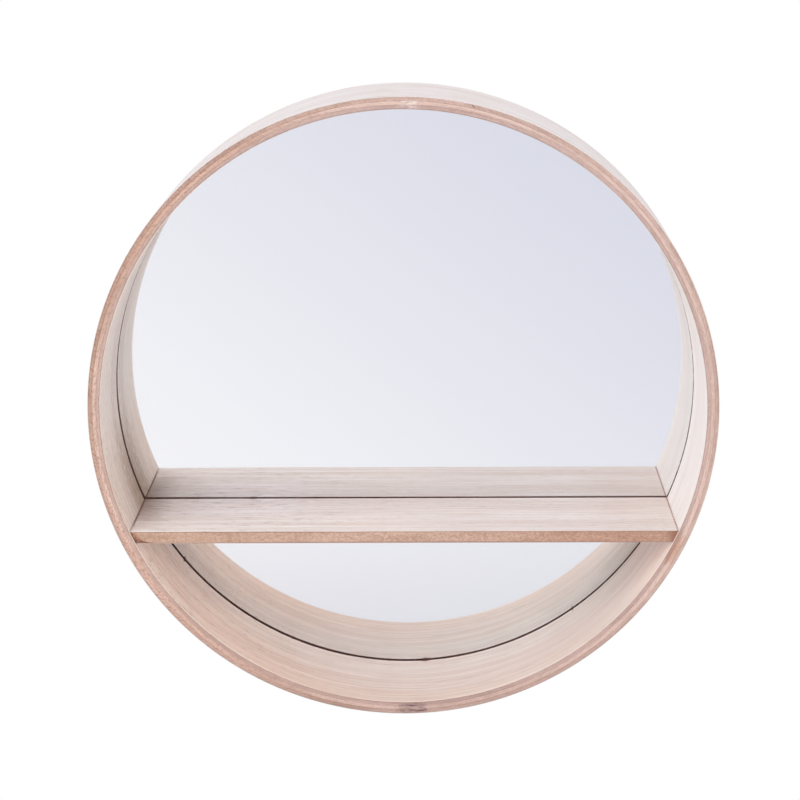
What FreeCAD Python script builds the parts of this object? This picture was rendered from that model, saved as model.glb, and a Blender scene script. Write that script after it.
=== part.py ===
import FreeCAD, Part
import math
import os
import Sketcher

# Round wall mirror with a shelf.
#
# A bent, laminated hoop stands on edge round a mirror. The mirror sits near the back of the hoop
# against the end of the inner ply, and a straight shelf crosses the lower half in front of it.
# +X is to the right, +Z is up, and the front faces -Y. The origin lies midway between the two
# keyholes the mirror hangs by, on the plane of the wall.

SIZES = [
    ("hoop_diameter", "600", "outside diameter of the hoop"),
    ("hoop_depth", "140", "front edge to back edge"),
    ("veneer_thickness", "0.55", "veneer on the hoop and on the shelf"),
    ("ply_thickness", "3.5", "each of the three bent boards"),
    ("glue_line", "0.1", "glue between the layers of the hoop"),
    ("butt_gap", "0.3", "open joint where the ends of a bent board meet"),
    ("edge_break", "0.25", "sanded arris on the front edges"),
    ("glass_thickness", "4", "float glass"),
    ("glass_edge_gap", "1", "glass to the hoop, all round"),
    ("glass_seam", "0.4", "ground arris on the glass"),
    ("coat_thickness", "0.2", "silver and its paint"),
    ("tape_thickness", "0.8", "foam tape, pressed"),
    ("tape_width", "20", "one strip"),
    ("tape_length", "340", "one strip"),
    ("tape_pitch", "95", "strip to strip"),
    ("tape_count", "5", "strips"),
    ("board_thickness", "3", "back board"),
    ("board_edge_gap", "0.5", "back board to the hoop, all round"),
    ("point_count", "10", "retaining points round the hoop"),
    ("point_width", "6", "one point, round the hoop"),
    ("point_length", "15", "one point, in from the hoop"),
    ("point_thickness", "0.5", "sheet steel"),
    ("point_bite", "5", "length of a point that is driven into the hoop"),
    ("point_fit", "0.05", "point to its cut, each side"),
    ("shelf_core_thickness", "10.9", "board between the two veneers"),
    ("shelf_drop", "116", "centre of the hoop down to the shelf's top"),
    ("shelf_front_inset", "1.5", "shelf's front edge behind the hoop's"),
    ("shelf_mirror_gap", "0.3", "shelf's back edge to the glass"),
    ("shelf_end_gap", "0.3", "shelf's end to the hoop"),
    ("dowel_diameter", "6", "beech dowel"),
    ("dowel_length", "30", "beech dowel"),
    ("dowel_bite", "6", "length of a dowel that is in the hoop"),
    ("dowel_margin", "32", "dowel's centre to the shelf's front or back edge"),
    ("dowel_end_gap", "0.5", "dowel's end to the bottom of its hole"),
    ("dowel_fit", "0.05", "dowel to its hole, on the radius"),
    ("hanger_spacing", "300", "keyhole to keyhole"),
    ("hanger_drop", "120", "top of the hoop down to the keyholes"),
    ("block_length", "80", "wooden block under a keyhole plate"),
    ("block_height", "50", "wooden block under a keyhole plate"),
    ("block_thickness", "4.5", "wooden block, between the back board and its plate"),
    ("plate_length", "50", "keyhole plate"),
    ("plate_height", "24", "keyhole plate"),
    ("plate_thickness", "1.5", "keyhole plate"),
    ("plate_corner", "4", "radius of the plate's corners"),
    ("entry_radius", "4.5", "keyhole, round part that the wall screw's head enters"),
    ("slot_radius", "2.25", "keyhole, half the width of its slot"),
    ("slot_rise", "8", "entry's centre up to the slot's end centre"),
    ("recess_margin", "2", "hollow in the block past the keyhole, all round"),
    ("screw_offset", "19", "keyhole to each screw of its plate"),
    ("screw_length", "8", "plate screw, with its head"),
    ("screw_radius", "1.5", "plate screw's shank"),
    ("screw_point", "1.5", "length of the screw's pointed tip"),
    ("head_radius", "2.5", "plate screw's countersunk head"),
    ("screw_fit", "0.05", "screw to its hole, on the radius"),
]

doc = FreeCAD.newDocument("mirror_with_shelf")
sizes = doc.addObject("Spreadsheet::Sheet", "sizes")
for row, (alias, value, note) in enumerate(SIZES, start=1):
    sizes.set(f"A{row}", note)
    sizes.set(f"B{row}", value)
    sizes.setAlias(f"B{row}", alias)
doc.recompute()


def cell(alias):
    """The way an expression names a cell of the sheet."""
    return f"<<sizes>>.{alias}"


def value_of(alias):
    """The number that a cell holds now."""
    return float(sizes.get(alias))


def same_length(one, other):
    """Whether two lengths agree to a ten-thousandth of a millimetre."""
    return math.isclose(one, other, abs_tol=1e-4)


# Outer and inner radius of each layer of the hoop, from the outside in.
OUTER_FACE = f"({cell('hoop_diameter')} / 2)"
OUTER_VENEER_IN = f"({OUTER_FACE} - {cell('veneer_thickness')})"
OUTER_PLY_OUT = f"({OUTER_VENEER_IN} - {cell('glue_line')})"
OUTER_PLY_IN = f"({OUTER_PLY_OUT} - {cell('ply_thickness')})"
MIDDLE_PLY_OUT = f"({OUTER_PLY_IN} - {cell('glue_line')})"
SEAT_FACE = f"({MIDDLE_PLY_OUT} - {cell('ply_thickness')})"
INNER_PLY_OUT = f"({SEAT_FACE} - {cell('glue_line')})"
INNER_PLY_IN = f"({INNER_PLY_OUT} - {cell('ply_thickness')})"
INNER_VENEER_OUT = f"({INNER_PLY_IN} - {cell('glue_line')})"
INNER_FACE = f"({INNER_VENEER_OUT} - {cell('veneer_thickness')})"

# Distances forward of the wall, of the back face of each layer behind the seat, which is where
# the inner ply ends and the glass begins. The plates' own back faces are on the wall plane.
BLOCK_BACK = cell("plate_thickness")
BOARD_BACK = f"({BLOCK_BACK} + {cell('block_thickness')})"
TAPE_BACK = f"({BOARD_BACK} + {cell('board_thickness')})"
COAT_BACK = f"({TAPE_BACK} + {cell('tape_thickness')})"
GLASS_BACK = f"({COAT_BACK} + {cell('coat_thickness')})"
SEAT = f"({GLASS_BACK} + {cell('glass_thickness')})"

# The shelf, from front to back and from top to bottom.
SHELF_BACK = f"({SEAT} + {cell('shelf_mirror_gap')})"
SHELF_FRONT = f"({cell('hoop_depth')} - {cell('shelf_front_inset')})"
SHELF_DEPTH = f"({SHELF_FRONT} - {SHELF_BACK})"
CORE_TOP = f"({cell('shelf_drop')} + {cell('veneer_thickness')})"
CORE_BOTTOM = f"({CORE_TOP} + {cell('shelf_core_thickness')})"
SHELF_BOTTOM = f"({CORE_BOTTOM} + {cell('veneer_thickness')})"
SHELF_END = f"({INNER_FACE} - {cell('shelf_end_gap')})"

# Dowels lie along X at the core's mid height; the hoop's inner face is WALL_X from the middle there.
DOWEL_DROP = f"(({CORE_TOP} + {CORE_BOTTOM}) / 2)"
WALL_X = f"sqrt(({INNER_FACE}) ^ 2 - {DOWEL_DROP} ^ 2)"
DOWEL_OUTER_END = f"({WALL_X} + {cell('dowel_bite')})"
DOWEL_INNER_END = f"({DOWEL_OUTER_END} - {cell('dowel_length')})"
DOWEL_FRONT = f"({SHELF_FRONT} - {cell('dowel_margin')})"
DOWEL_SPREAD = f"({SHELF_DEPTH} - 2 * {cell('dowel_margin')})"

# A keyhole plate, its block and their screws are centred on the keyhole's height.
PLATE_MIDDLE = f"(({cell('slot_rise')} + {cell('slot_radius')} - {cell('entry_radius')}) / 2)"
KEYHOLE_HEIGHT = f"({cell('slot_rise')} + {cell('slot_radius')} + {cell('entry_radius')})"
HALF_SPACING = f"({cell('hanger_spacing')} / 2)"
HANGER_RISE = f"({OUTER_FACE} - {cell('hanger_drop')})"
SCREW_HOLE = f"({cell('screw_radius')} + {cell('screw_fit')})"
SCREW_IN_BOARD = f"({cell('screw_length')} - {BOARD_BACK} + {cell('screw_fit')})"
HEAD_HEIGHT = f"({cell('head_radius')} - {cell('screw_radius')})"


def origin_part(body, role):
    """A plane or an axis of a body's own origin."""
    return next(item for item in body.Origin.OriginFeatures if item.Role == role)


def new_body(label, height=f"-{HANGER_RISE}"):
    """A sub-part whose own origin lies on the wall plane, on the hoop's axis unless said."""
    body = doc.addObject("PartDesign::Body", label)
    body.Label = label
    body.AllowCompound = True
    body.setExpression("Placement.Base.z", height)
    return body


def new_sketch(body, name, role="XZ_Plane", right="0", up="0", forward="0"):
    """A sketch on an origin plane of its body, moved in that plane and off it.

    On XZ_Plane, right is +X, up is +Z and forward is away from the wall.
    On YZ_Plane, right is +Y, up is +Z and forward is +X.
    """
    sketch = body.newObject("Sketcher::SketchObject", f"{body.Name}_{name}")
    sketch.AttachmentSupport = [(origin_part(body, role), "")]
    sketch.MapMode = "FlatFace"
    for axis, expression in (("x", right), ("y", up), ("z", forward)):
        sketch.setExpression(f"AttachmentOffset.Base.{axis}", expression)
    return sketch


def constrain(sketch, name, expression, kind, *where):
    """A named size of a sketch, bound to the sheet."""
    start = abs(sketch.evalExpression(expression))
    sketch.addConstraint(Sketcher.Constraint(kind, *where, float(start)))
    sketch.renameConstraint(sketch.ConstraintCount - 1, name)
    sketch.setExpression(f"Constraints.{name}", expression)


def draw_circle(sketch, name, radius):
    """A circle about the sketch's own origin."""
    start = float(sketch.evalExpression(radius))
    circle = Part.Circle(FreeCAD.Vector(), FreeCAD.Vector(0, 0, 1), start)
    index = sketch.addGeometry(circle)
    sketch.addConstraint(Sketcher.Constraint("Coincident", index, 3, -1, 1))
    constrain(sketch, name, radius, "Radius", index)


def draw_rectangle(sketch, width, height):
    """A rectangle about the sketch's own origin."""
    x = float(sketch.evalExpression(width)) / 2
    y = float(sketch.evalExpression(height)) / 2
    corners = [FreeCAD.Vector(*xy) for xy in ((-x, -y), (x, -y), (x, y), (-x, y))]
    sides = len(corners)
    for index in range(sides):
        sketch.addGeometry(Part.LineSegment(corners[index], corners[(index + 1) % sides]))
    for index in range(sides):
        sketch.addConstraint(Sketcher.Constraint("Coincident", index, 2, (index + 1) % sides, 1))
        level = "Horizontal" if index % 2 == 0 else "Vertical"
        sketch.addConstraint(Sketcher.Constraint(level, index))
    sketch.addConstraint(Sketcher.Constraint("Symmetric", 0, 1, 1, 2, -1, 1))
    constrain(sketch, "width", width, "DistanceX", 0, 1, 0, 2)
    constrain(sketch, "height", height, "DistanceY", 1, 1, 1, 2)


def draw_slot(sketch, radius, rise):
    """An upright slot with round ends, its lower centre at the sketch's own origin."""
    r = float(sketch.evalExpression(radius))
    top = float(sketch.evalExpression(rise))
    lower, upper, normal = FreeCAD.Vector(), FreeCAD.Vector(0, top, 0), FreeCAD.Vector(0, 0, 1)
    upper_end = Part.ArcOfCircle(Part.Circle(upper, normal, r), 0, math.pi)
    lower_end = Part.ArcOfCircle(Part.Circle(lower, normal, r), math.pi, 2 * math.pi)
    sketch.addGeometry(upper_end)
    sketch.addGeometry(Part.LineSegment(FreeCAD.Vector(-r, top), FreeCAD.Vector(-r, 0)))
    sketch.addGeometry(lower_end)
    sketch.addGeometry(Part.LineSegment(FreeCAD.Vector(r, 0), FreeCAD.Vector(r, top)))
    for index in range(4):
        sketch.addConstraint(Sketcher.Constraint("Tangent", index, 2, (index + 1) % 4, 1))
    sketch.addConstraint(Sketcher.Constraint("Coincident", 2, 3, -1, 1))
    sketch.addConstraint(Sketcher.Constraint("Vertical", 1))
    constrain(sketch, "radius", radius, "Radius", 2)
    constrain(sketch, "rise", rise, "DistanceY", 2, 3, 0, 3)


def pad(body, sketch, name, length):
    """Raises a solid from a sketch, forward of it."""
    feature = body.newObject("PartDesign::Pad", f"{body.Name}_{name}")
    feature.Profile = sketch
    feature.setExpression("Length", length)
    sketch.Visibility = False
    doc.recompute()
    return feature


def cut(body, sketch, name, length=None, forward=False, midplane=False):
    """Takes a sketch's shape out of its body, right through unless a length is given."""
    before = body.Shape.Volume
    feature = body.newObject("PartDesign::Pocket", f"{body.Name}_{name}")
    feature.Profile = sketch
    feature.Reversed = forward
    feature.Midplane = midplane
    if length is None:
        feature.Type = "ThroughAll"
    else:
        feature.Type = "Length"
        feature.setExpression("Length", length)
    sketch.Visibility = False
    doc.recompute()
    if body.Shape.Volume >= before:
        raise RuntimeError(f"{feature.Name} takes nothing away")
    return feature


def repeat_round(body, feature, count):
    """Repeats a feature all the way round the hoop's axis."""
    pattern = body.newObject("PartDesign::PolarPattern", f"{feature.Name}_round")
    pattern.Originals = [feature]
    pattern.Axis = (origin_part(body, "Y_Axis"), [""])
    pattern.Angle = 360
    pattern.setExpression("Occurrences", count)
    body.Tip = pattern
    doc.recompute()


def repeat_along(body, feature, role, length, count="2"):
    """Repeats a feature along an axis of its body, the last one that length from the first."""
    pattern = body.newObject("PartDesign::LinearPattern", f"{feature.Name}_along")
    pattern.Originals = [feature]
    pattern.Direction = (origin_part(body, role), [""])
    pattern.setExpression("Length", length)
    pattern.setExpression("Occurrences", count)
    body.Tip = pattern
    doc.recompute()


def mirror_across(body, feature):
    """Repeats a feature on the other side of the middle of the hoop."""
    pattern = body.newObject("PartDesign::Mirrored", f"{feature.Name}_mirrored")
    pattern.Originals = [feature]
    pattern.MirrorPlane = (origin_part(body, "YZ_Plane"), [""])
    body.Tip = pattern
    doc.recompute()


def break_edges(body, name, size, wanted):
    """Chamfers the edges of a body that the test picks."""
    solid = body.Tip
    picked = [f"Edge{index}" for index, edge in enumerate(solid.Shape.Edges, start=1) if wanted(edge)]
    chamfer = body.newObject("PartDesign::Chamfer", f"{body.Name}_{name}")
    chamfer.Base = (solid, picked)
    chamfer.setExpression("Size", size)
    doc.recompute()


def is_arc(edge, radius, forward):
    """Whether an edge is a circle about the hoop's axis, that radius and that far from the wall."""
    if not isinstance(edge.Curve, Part.Circle):
        return False
    return same_length(edge.Curve.Radius, radius) and same_length(edge.Curve.Center.y, -forward)


# ---- Hoop ----

def layer(label, outer, inner, back="0"):
    """One bent layer of the hoop, from its back edge to the front of the hoop."""
    body = new_body(label)
    ring = new_sketch(body, "ring", forward=back)
    draw_circle(ring, "outer_radius", outer)
    draw_circle(ring, "inner_radius", inner)
    pad(body, ring, "bent", f"{cell('hoop_depth')} - {back}")
    return body


def break_front(body, radius):
    """The sanded arris on a layer's front edge."""
    depth = value_of("hoop_depth")
    size = float(body.evalExpression(radius))
    break_edges(body, "arris", cell("edge_break"), lambda edge: is_arc(edge, size, depth))


def open_joint(body, outer, inner, joint_side):
    """The thin gap between the two ends of a bent layer, at the hoop's top or bottom."""
    middle = f"{joint_side} * ({outer} + {inner}) / 2"
    slit = new_sketch(body, "joint", up=middle)
    draw_rectangle(slit, cell("butt_gap"), f"({outer} - {inner}) * 2")
    cut(body, slit, "joint_gap", forward=True)


def bore_for_dowels(body):
    """The holes for the shelf's dowels, on both sides of the hoop."""
    hole = new_sketch(body, "dowel_hole", "YZ_Plane", f"-{DOWEL_FRONT}", f"-{DOWEL_DROP}")
    draw_circle(hole, "radius", f"{cell('dowel_diameter')} / 2 + {cell('dowel_fit')}")
    across = f"2 * ({DOWEL_OUTER_END} + {cell('dowel_end_gap')})"
    bore = cut(body, hole, "dowel_bore", across, midplane=True)
    repeat_along(body, bore, "Y_Axis", DOWEL_SPREAD)


def slot_for_points(body):
    """The cuts that the retaining points are driven into, behind the back board."""
    mouth = f"({SEAT_FACE} - {cell('point_fit')})"
    bottom = f"({SEAT_FACE} + {cell('point_bite')} + {cell('point_fit')})"
    slit = new_sketch(body, "point_cut", right=f"({mouth} + {bottom}) / 2", forward=BOARD_BACK)
    draw_rectangle(slit, f"{bottom} - {mouth}", f"{cell('point_width')} + 2 * {cell('point_fit')}")
    depth = f"{cell('point_thickness')} + {cell('point_fit')}"
    repeat_round(body, cut(body, slit, "point_slot", depth), cell("point_count"))


TOP, BOTTOM = "1", "-1"

outer_veneer = layer("hoop_outer_veneer", OUTER_FACE, OUTER_VENEER_IN)
break_front(outer_veneer, OUTER_FACE)
open_joint(outer_veneer, OUTER_FACE, OUTER_VENEER_IN, BOTTOM)

outer_ply = layer("hoop_outer_ply", OUTER_PLY_OUT, OUTER_PLY_IN)
open_joint(outer_ply, OUTER_PLY_OUT, OUTER_PLY_IN, BOTTOM)
slot_for_points(outer_ply)

middle_ply = layer("hoop_middle_ply", MIDDLE_PLY_OUT, SEAT_FACE)
open_joint(middle_ply, MIDDLE_PLY_OUT, SEAT_FACE, TOP)
bore_for_dowels(middle_ply)
slot_for_points(middle_ply)

inner_ply = layer("hoop_inner_ply", INNER_PLY_OUT, INNER_PLY_IN, SEAT)
open_joint(inner_ply, INNER_PLY_OUT, INNER_PLY_IN, BOTTOM)
bore_for_dowels(inner_ply)

inner_veneer = layer("hoop_inner_veneer", INNER_VENEER_OUT, INNER_FACE, SEAT)
break_front(inner_veneer, INNER_FACE)
open_joint(inner_veneer, INNER_VENEER_OUT, INNER_FACE, TOP)
bore_for_dowels(inner_veneer)


# ---- Shelf ----

def draw_board(sketch, top, bottom):
    """A board's front view: level top and bottom, and ends that follow the hoop."""
    radius = float(sketch.evalExpression(SHELF_END))
    high = float(sketch.evalExpression(top))
    low = float(sketch.evalExpression(bottom))
    upper, lower = math.asin(high / radius), math.asin(low / radius)
    circle = Part.Circle(FreeCAD.Vector(), FreeCAD.Vector(0, 0, 1), radius)
    right_end = Part.ArcOfCircle(circle, -lower, -upper)
    left_end = Part.ArcOfCircle(circle, math.pi + upper, math.pi + lower)
    half_top, half_bottom = radius * math.cos(upper), radius * math.cos(lower)
    sketch.addGeometry(right_end)
    sketch.addGeometry(Part.LineSegment(FreeCAD.Vector(half_top, -high),
                                        FreeCAD.Vector(-half_top, -high)))
    sketch.addGeometry(left_end)
    sketch.addGeometry(Part.LineSegment(FreeCAD.Vector(-half_bottom, -low),
                                        FreeCAD.Vector(half_bottom, -low)))
    for index in range(4):
        sketch.addConstraint(Sketcher.Constraint("Coincident", index, 2, (index + 1) % 4, 1))
    for end in (0, 2):
        sketch.addConstraint(Sketcher.Constraint("Coincident", end, 3, -1, 1))
    for level in (1, 3):
        sketch.addConstraint(Sketcher.Constraint("Horizontal", level))
    constrain(sketch, "end_radius", SHELF_END, "Radius", 0)
    constrain(sketch, "top", top, "DistanceY", 1, 1, -1, 1)
    constrain(sketch, "bottom", bottom, "DistanceY", 3, 1, -1, 1)


def shelf_board(label, top, bottom):
    """One layer of the shelf."""
    body = new_body(label)
    profile = new_sketch(body, "profile", forward=SHELF_BACK)
    draw_board(profile, top, bottom)
    pad(body, profile, "board", SHELF_DEPTH)
    return body


def break_shelf_front(body, drop):
    """The sanded arris along a veneer's front edge."""
    front = float(body.evalExpression(SHELF_FRONT))
    level = float(body.evalExpression(drop))
    break_edges(body, "arris", cell("edge_break"),
                lambda edge: all(same_length(vertex.Y, -front) and same_length(vertex.Z, -level)
                                 for vertex in edge.Vertexes))


def bore_shelf_end(body, end):
    """The two dowel holes in one end of the shelf's core."""
    hole_end = f"{end} * ({DOWEL_INNER_END} - {cell('dowel_end_gap')})"
    hole = new_sketch(body, "dowel_hole", "YZ_Plane", f"-{DOWEL_FRONT}", f"-{DOWEL_DROP}", hole_end)
    draw_circle(hole, "radius", f"{cell('dowel_diameter')} / 2 + {cell('dowel_fit')}")
    bore = cut(body, hole, "dowel_bore", forward=(end == RIGHT))
    repeat_along(body, bore, "Y_Axis", DOWEL_SPREAD)


RIGHT, LEFT = "1", "-1"

shelf_core = shelf_board("shelf_core", CORE_TOP, CORE_BOTTOM)
bore_shelf_end(shelf_core, RIGHT)
bore_shelf_end(shelf_core, LEFT)

shelf_top_veneer = shelf_board("shelf_top_veneer", cell("shelf_drop"), CORE_TOP)
break_shelf_front(shelf_top_veneer, cell("shelf_drop"))

shelf_bottom_veneer = shelf_board("shelf_bottom_veneer", CORE_BOTTOM, SHELF_BOTTOM)
break_shelf_front(shelf_bottom_veneer, SHELF_BOTTOM)

for label, start in (("shelf_dowels_right", DOWEL_INNER_END),
                     ("shelf_dowels_left", f"-{DOWEL_OUTER_END}")):
    dowels = new_body(label)
    round_end = new_sketch(dowels, "round", "YZ_Plane", f"-{DOWEL_FRONT}", f"-{DOWEL_DROP}", start)
    draw_circle(round_end, "radius", f"{cell('dowel_diameter')} / 2")
    dowel = pad(dowels, round_end, "dowel", cell("dowel_length"))
    repeat_along(dowels, dowel, "Y_Axis", DOWEL_SPREAD)


# ---- Mirror, its tape and the back board ----

def disc(label, radius, back, thickness):
    """A flat round piece about the hoop's axis."""
    body = new_body(label)
    outline = new_sketch(body, "outline", forward=back)
    draw_circle(outline, "radius", radius)
    pad(body, outline, "disc", thickness)
    return body


GLASS_EDGE = f"({SEAT_FACE} - {cell('glass_edge_gap')})"
COAT_EDGE = f"({GLASS_EDGE} - {cell('glass_seam')})"
BOARD_EDGE = f"({SEAT_FACE} - {cell('board_edge_gap')})"

mirror_glass = disc("mirror_glass", GLASS_EDGE, GLASS_BACK, cell("glass_thickness"))
break_edges(mirror_glass, "seam", cell("glass_seam"),
            lambda edge: isinstance(edge.Curve, Part.Circle))

disc("mirror_silvering", COAT_EDGE, COAT_BACK, cell("coat_thickness"))

mirror_tape = new_body("mirror_tape")
first_strip = f"-{cell('tape_pitch')} * ({cell('tape_count')} - 1) / 2"
strip_outline = new_sketch(mirror_tape, "strip", right=first_strip, forward=TAPE_BACK)
draw_rectangle(strip_outline, cell("tape_width"), cell("tape_length"))
strip = pad(mirror_tape, strip_outline, "strip_pad", cell("tape_thickness"))
repeat_along(mirror_tape, strip, "X_Axis", f"{cell('tape_pitch')} * ({cell('tape_count')} - 1)",
             cell("tape_count"))

retaining_points = new_body("retaining_points")
point_end = f"({SEAT_FACE} + {cell('point_bite')})"
point_middle = f"({point_end} - {cell('point_length')} / 2)"
point_outline = new_sketch(retaining_points, "outline", right=point_middle,
                           forward=f"{BOARD_BACK} - {cell('point_thickness')}")
draw_rectangle(point_outline, cell("point_length"), cell("point_width"))
point = pad(retaining_points, point_outline, "point", cell("point_thickness"))
repeat_round(retaining_points, point, cell("point_count"))

back_board = disc("back_board", BOARD_EDGE, BOARD_BACK, cell("board_thickness"))
for name, sign in (("outer", "+"), ("inner", "-")):
    pilot = new_sketch(back_board, f"{name}_screw", right=f"{HALF_SPACING} {sign} {cell('screw_offset')}",
                       up=f"{PLATE_MIDDLE} + {HANGER_RISE}", forward=BOARD_BACK)
    draw_circle(pilot, "radius", SCREW_HOLE)
    drilled = cut(back_board, pilot, f"{name}_screw_hole", SCREW_IN_BOARD, forward=True)
    mirror_across(back_board, drilled)


# ---- Hanging blocks, keyhole plates and screws ----

def drill_for_screws(body, middle, mouth):
    """The two screw holes of a plate or a block, right through it."""
    hole = new_sketch(body, "screw", right=f"{middle} - {cell('screw_offset')}", up=PLATE_MIDDLE,
                      forward=mouth)
    draw_circle(hole, "radius", SCREW_HOLE)
    drilled = cut(body, hole, "screw_hole", forward=True)
    repeat_along(body, drilled, "X_Axis", f"2 * {cell('screw_offset')}")


def hanging_block(label, side):
    """A wooden block glued to the back board, hollowed behind its plate for a wall screw's head."""
    body = new_body(label, height="0")
    middle = f"{side} * {HALF_SPACING}"
    outline = new_sketch(body, "outline", right=middle, up=PLATE_MIDDLE, forward=BLOCK_BACK)
    draw_rectangle(outline, cell("block_length"), cell("block_height"))
    pad(body, outline, "strip", cell("block_thickness"))
    recess = new_sketch(body, "recess", right=middle, up=PLATE_MIDDLE, forward=BLOCK_BACK)
    draw_rectangle(recess, f"2 * ({cell('entry_radius')} + {cell('recess_margin')})",
                   f"{KEYHOLE_HEIGHT} + 2 * {cell('recess_margin')}")
    cut(body, recess, "head_recess", forward=True)
    drill_for_screws(body, middle, BLOCK_BACK)


def keyhole_plate(label, side):
    """A steel plate with a keyhole in its middle and a countersunk screw hole at each end."""
    body = new_body(label, height="0")
    middle = f"{side} * {HALF_SPACING}"
    outline = new_sketch(body, "outline", right=middle, up=PLATE_MIDDLE)
    draw_rectangle(outline, cell("plate_length"), cell("plate_height"))
    blank = pad(body, outline, "blank", cell("plate_thickness"))
    through = [f"Edge{index}" for index, edge in enumerate(blank.Shape.Edges, start=1)
               if same_length(edge.Length, value_of("plate_thickness"))]
    corners = body.newObject("PartDesign::Fillet", f"{label}_corners")
    corners.Base = (blank, through)
    corners.setExpression("Radius", cell("plate_corner"))
    entry = new_sketch(body, "entry", right=middle)
    draw_circle(entry, "radius", cell("entry_radius"))
    cut(body, entry, "keyhole_entry", forward=True)
    slot = new_sketch(body, "slot", right=middle)
    draw_slot(slot, cell("slot_radius"), cell("slot_rise"))
    cut(body, slot, "keyhole_slot", forward=True)
    drill_for_screws(body, middle, "0")
    hole_radius = float(body.evalExpression(SCREW_HOLE))
    break_edges(body, "countersinks", HEAD_HEIGHT, lambda edge: is_arc(edge, hole_radius, 0))


def plate_screws(label, side):
    """The two countersunk screws of one plate, turned round their own axes."""
    body = new_body(label, height="0")
    across = f"{side} * {HALF_SPACING} - {cell('screw_offset')}"
    section = new_sketch(body, "section", "YZ_Plane", "0", PLATE_MIDDLE, across)
    head = value_of("head_radius")
    shank = value_of("screw_radius")
    length = value_of("screw_length")
    tip = value_of("screw_point")
    outline = [(0, 0), (0, head), (shank - head, shank), (tip - length, shank), (-length, 0)]
    corners = [FreeCAD.Vector(*xy) for xy in outline]
    sides = len(corners)
    for index in range(sides):
        section.addGeometry(Part.LineSegment(corners[index], corners[(index + 1) % sides]))
    for index in range(sides):
        section.addConstraint(Sketcher.Constraint("Coincident", index, 2, (index + 1) % sides, 1))
    section.addConstraint(Sketcher.Constraint("Coincident", 0, 1, -1, 1))
    section.addConstraint(Sketcher.Constraint("Vertical", 0))
    section.addConstraint(Sketcher.Constraint("Horizontal", 2))
    section.addConstraint(Sketcher.Constraint("Horizontal", 4))
    constrain(section, "head_radius", cell("head_radius"), "DistanceY", 0, 1, 0, 2)
    constrain(section, "shank_radius", cell("screw_radius"), "DistanceY", 4, 2, 2, 1)
    constrain(section, "head_height", HEAD_HEIGHT, "DistanceX", 2, 1, 0, 2)
    constrain(section, "tip", cell("screw_point"), "DistanceX", 4, 1, 2, 2)
    constrain(section, "length", cell("screw_length"), "DistanceX", 4, 1, 4, 2)
    turned = body.newObject("PartDesign::Revolution", f"{label}_turned")
    turned.Profile = section
    turned.ReferenceAxis = (section, ["H_Axis"])
    turned.Angle = 360
    doc.recompute()
    repeat_along(body, turned, "X_Axis", f"2 * {cell('screw_offset')}")


for name, hand in (("left", LEFT), ("right", RIGHT)):
    hanging_block(f"hanging_block_{name}", hand)
    keyhole_plate(f"hanger_plate_{name}", hand)
    plate_screws(f"hanger_screws_{name}", hand)


# ---- Check every object, then write one file for each sub-part ----

doc.recompute()
for item in doc.Objects:
    if "Invalid" in item.State or "Error" in item.State:
        raise RuntimeError(f"{item.Label} failed: {item.State}")
bodies = [item for item in doc.Objects if item.TypeId == "PartDesign::Body"]
for body in bodies:
    if body.Shape.isNull() or not body.Shape.isValid():
        raise RuntimeError(f"{body.Label} has no valid shape")

os.makedirs("parts", exist_ok=True)
for body in bodies:
    body.Shape.exportStep(f"parts/{body.Label}.step")
    box = body.Shape.BoundBox
    print(f"{body.Label:22s} solids {len(body.Shape.Solids):2d}  volume {body.Shape.Volume:12.1f}"
          f"  x {box.XMin:8.2f} {box.XMax:8.2f}  y {box.YMin:8.2f} {box.YMax:8.2f}"
          f"  z {box.ZMin:8.2f} {box.ZMax:8.2f}")
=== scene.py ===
import math
import bpy
from mathutils import Matrix, Vector, noise


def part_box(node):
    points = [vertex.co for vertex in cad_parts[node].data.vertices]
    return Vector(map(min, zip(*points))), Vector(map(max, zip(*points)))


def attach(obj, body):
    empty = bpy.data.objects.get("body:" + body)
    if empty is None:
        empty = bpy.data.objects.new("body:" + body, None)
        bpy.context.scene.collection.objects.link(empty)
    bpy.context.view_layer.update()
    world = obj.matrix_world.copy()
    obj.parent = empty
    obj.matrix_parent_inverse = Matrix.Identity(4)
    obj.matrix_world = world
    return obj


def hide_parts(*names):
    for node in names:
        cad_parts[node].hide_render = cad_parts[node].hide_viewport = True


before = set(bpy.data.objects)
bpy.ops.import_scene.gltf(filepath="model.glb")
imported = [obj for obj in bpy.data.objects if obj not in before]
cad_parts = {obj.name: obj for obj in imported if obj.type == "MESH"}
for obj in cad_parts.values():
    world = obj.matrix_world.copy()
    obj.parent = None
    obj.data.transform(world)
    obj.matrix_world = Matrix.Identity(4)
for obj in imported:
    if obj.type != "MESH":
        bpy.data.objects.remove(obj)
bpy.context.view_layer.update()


# The hoop's three bent boards. Each is a strip of pinkish fibreboard bent round a drum and glued to
# the next, and only its sanded front and back edges show. The outer and the inner strip meet in a
# butt joint at the bottom of the hoop, the middle one at the top.
MM = 0.001
TOP, BOTTOM = 1, -1
lowest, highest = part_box("hoop_outer_ply")
AXIS_HEIGHT = (lowest.z + highest.z) / 2
HOOP_FRONT = -lowest.y
SEAT = -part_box("hoop_inner_ply")[1].y
BOARD = 3.5 * MM
BOARD_ARRIS = 0.08 * MM
GLUE_LINE = 0.1 * MM
BUTT_GAP = 0.04 * MM
OUTER_BOARD_RADIUS = highest.x
MIDDLE_BOARD_RADIUS = OUTER_BOARD_RADIUS - BOARD - GLUE_LINE
INNER_BOARD_RADIUS = MIDDLE_BOARD_RADIUS - BOARD - GLUE_LINE
STRIP_STEPS = 1081
ARRIS_STEPS = 2
FRAYED_DEPTH = 0.2 * MM
SHARP_FROM = math.radians(20)


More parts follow.
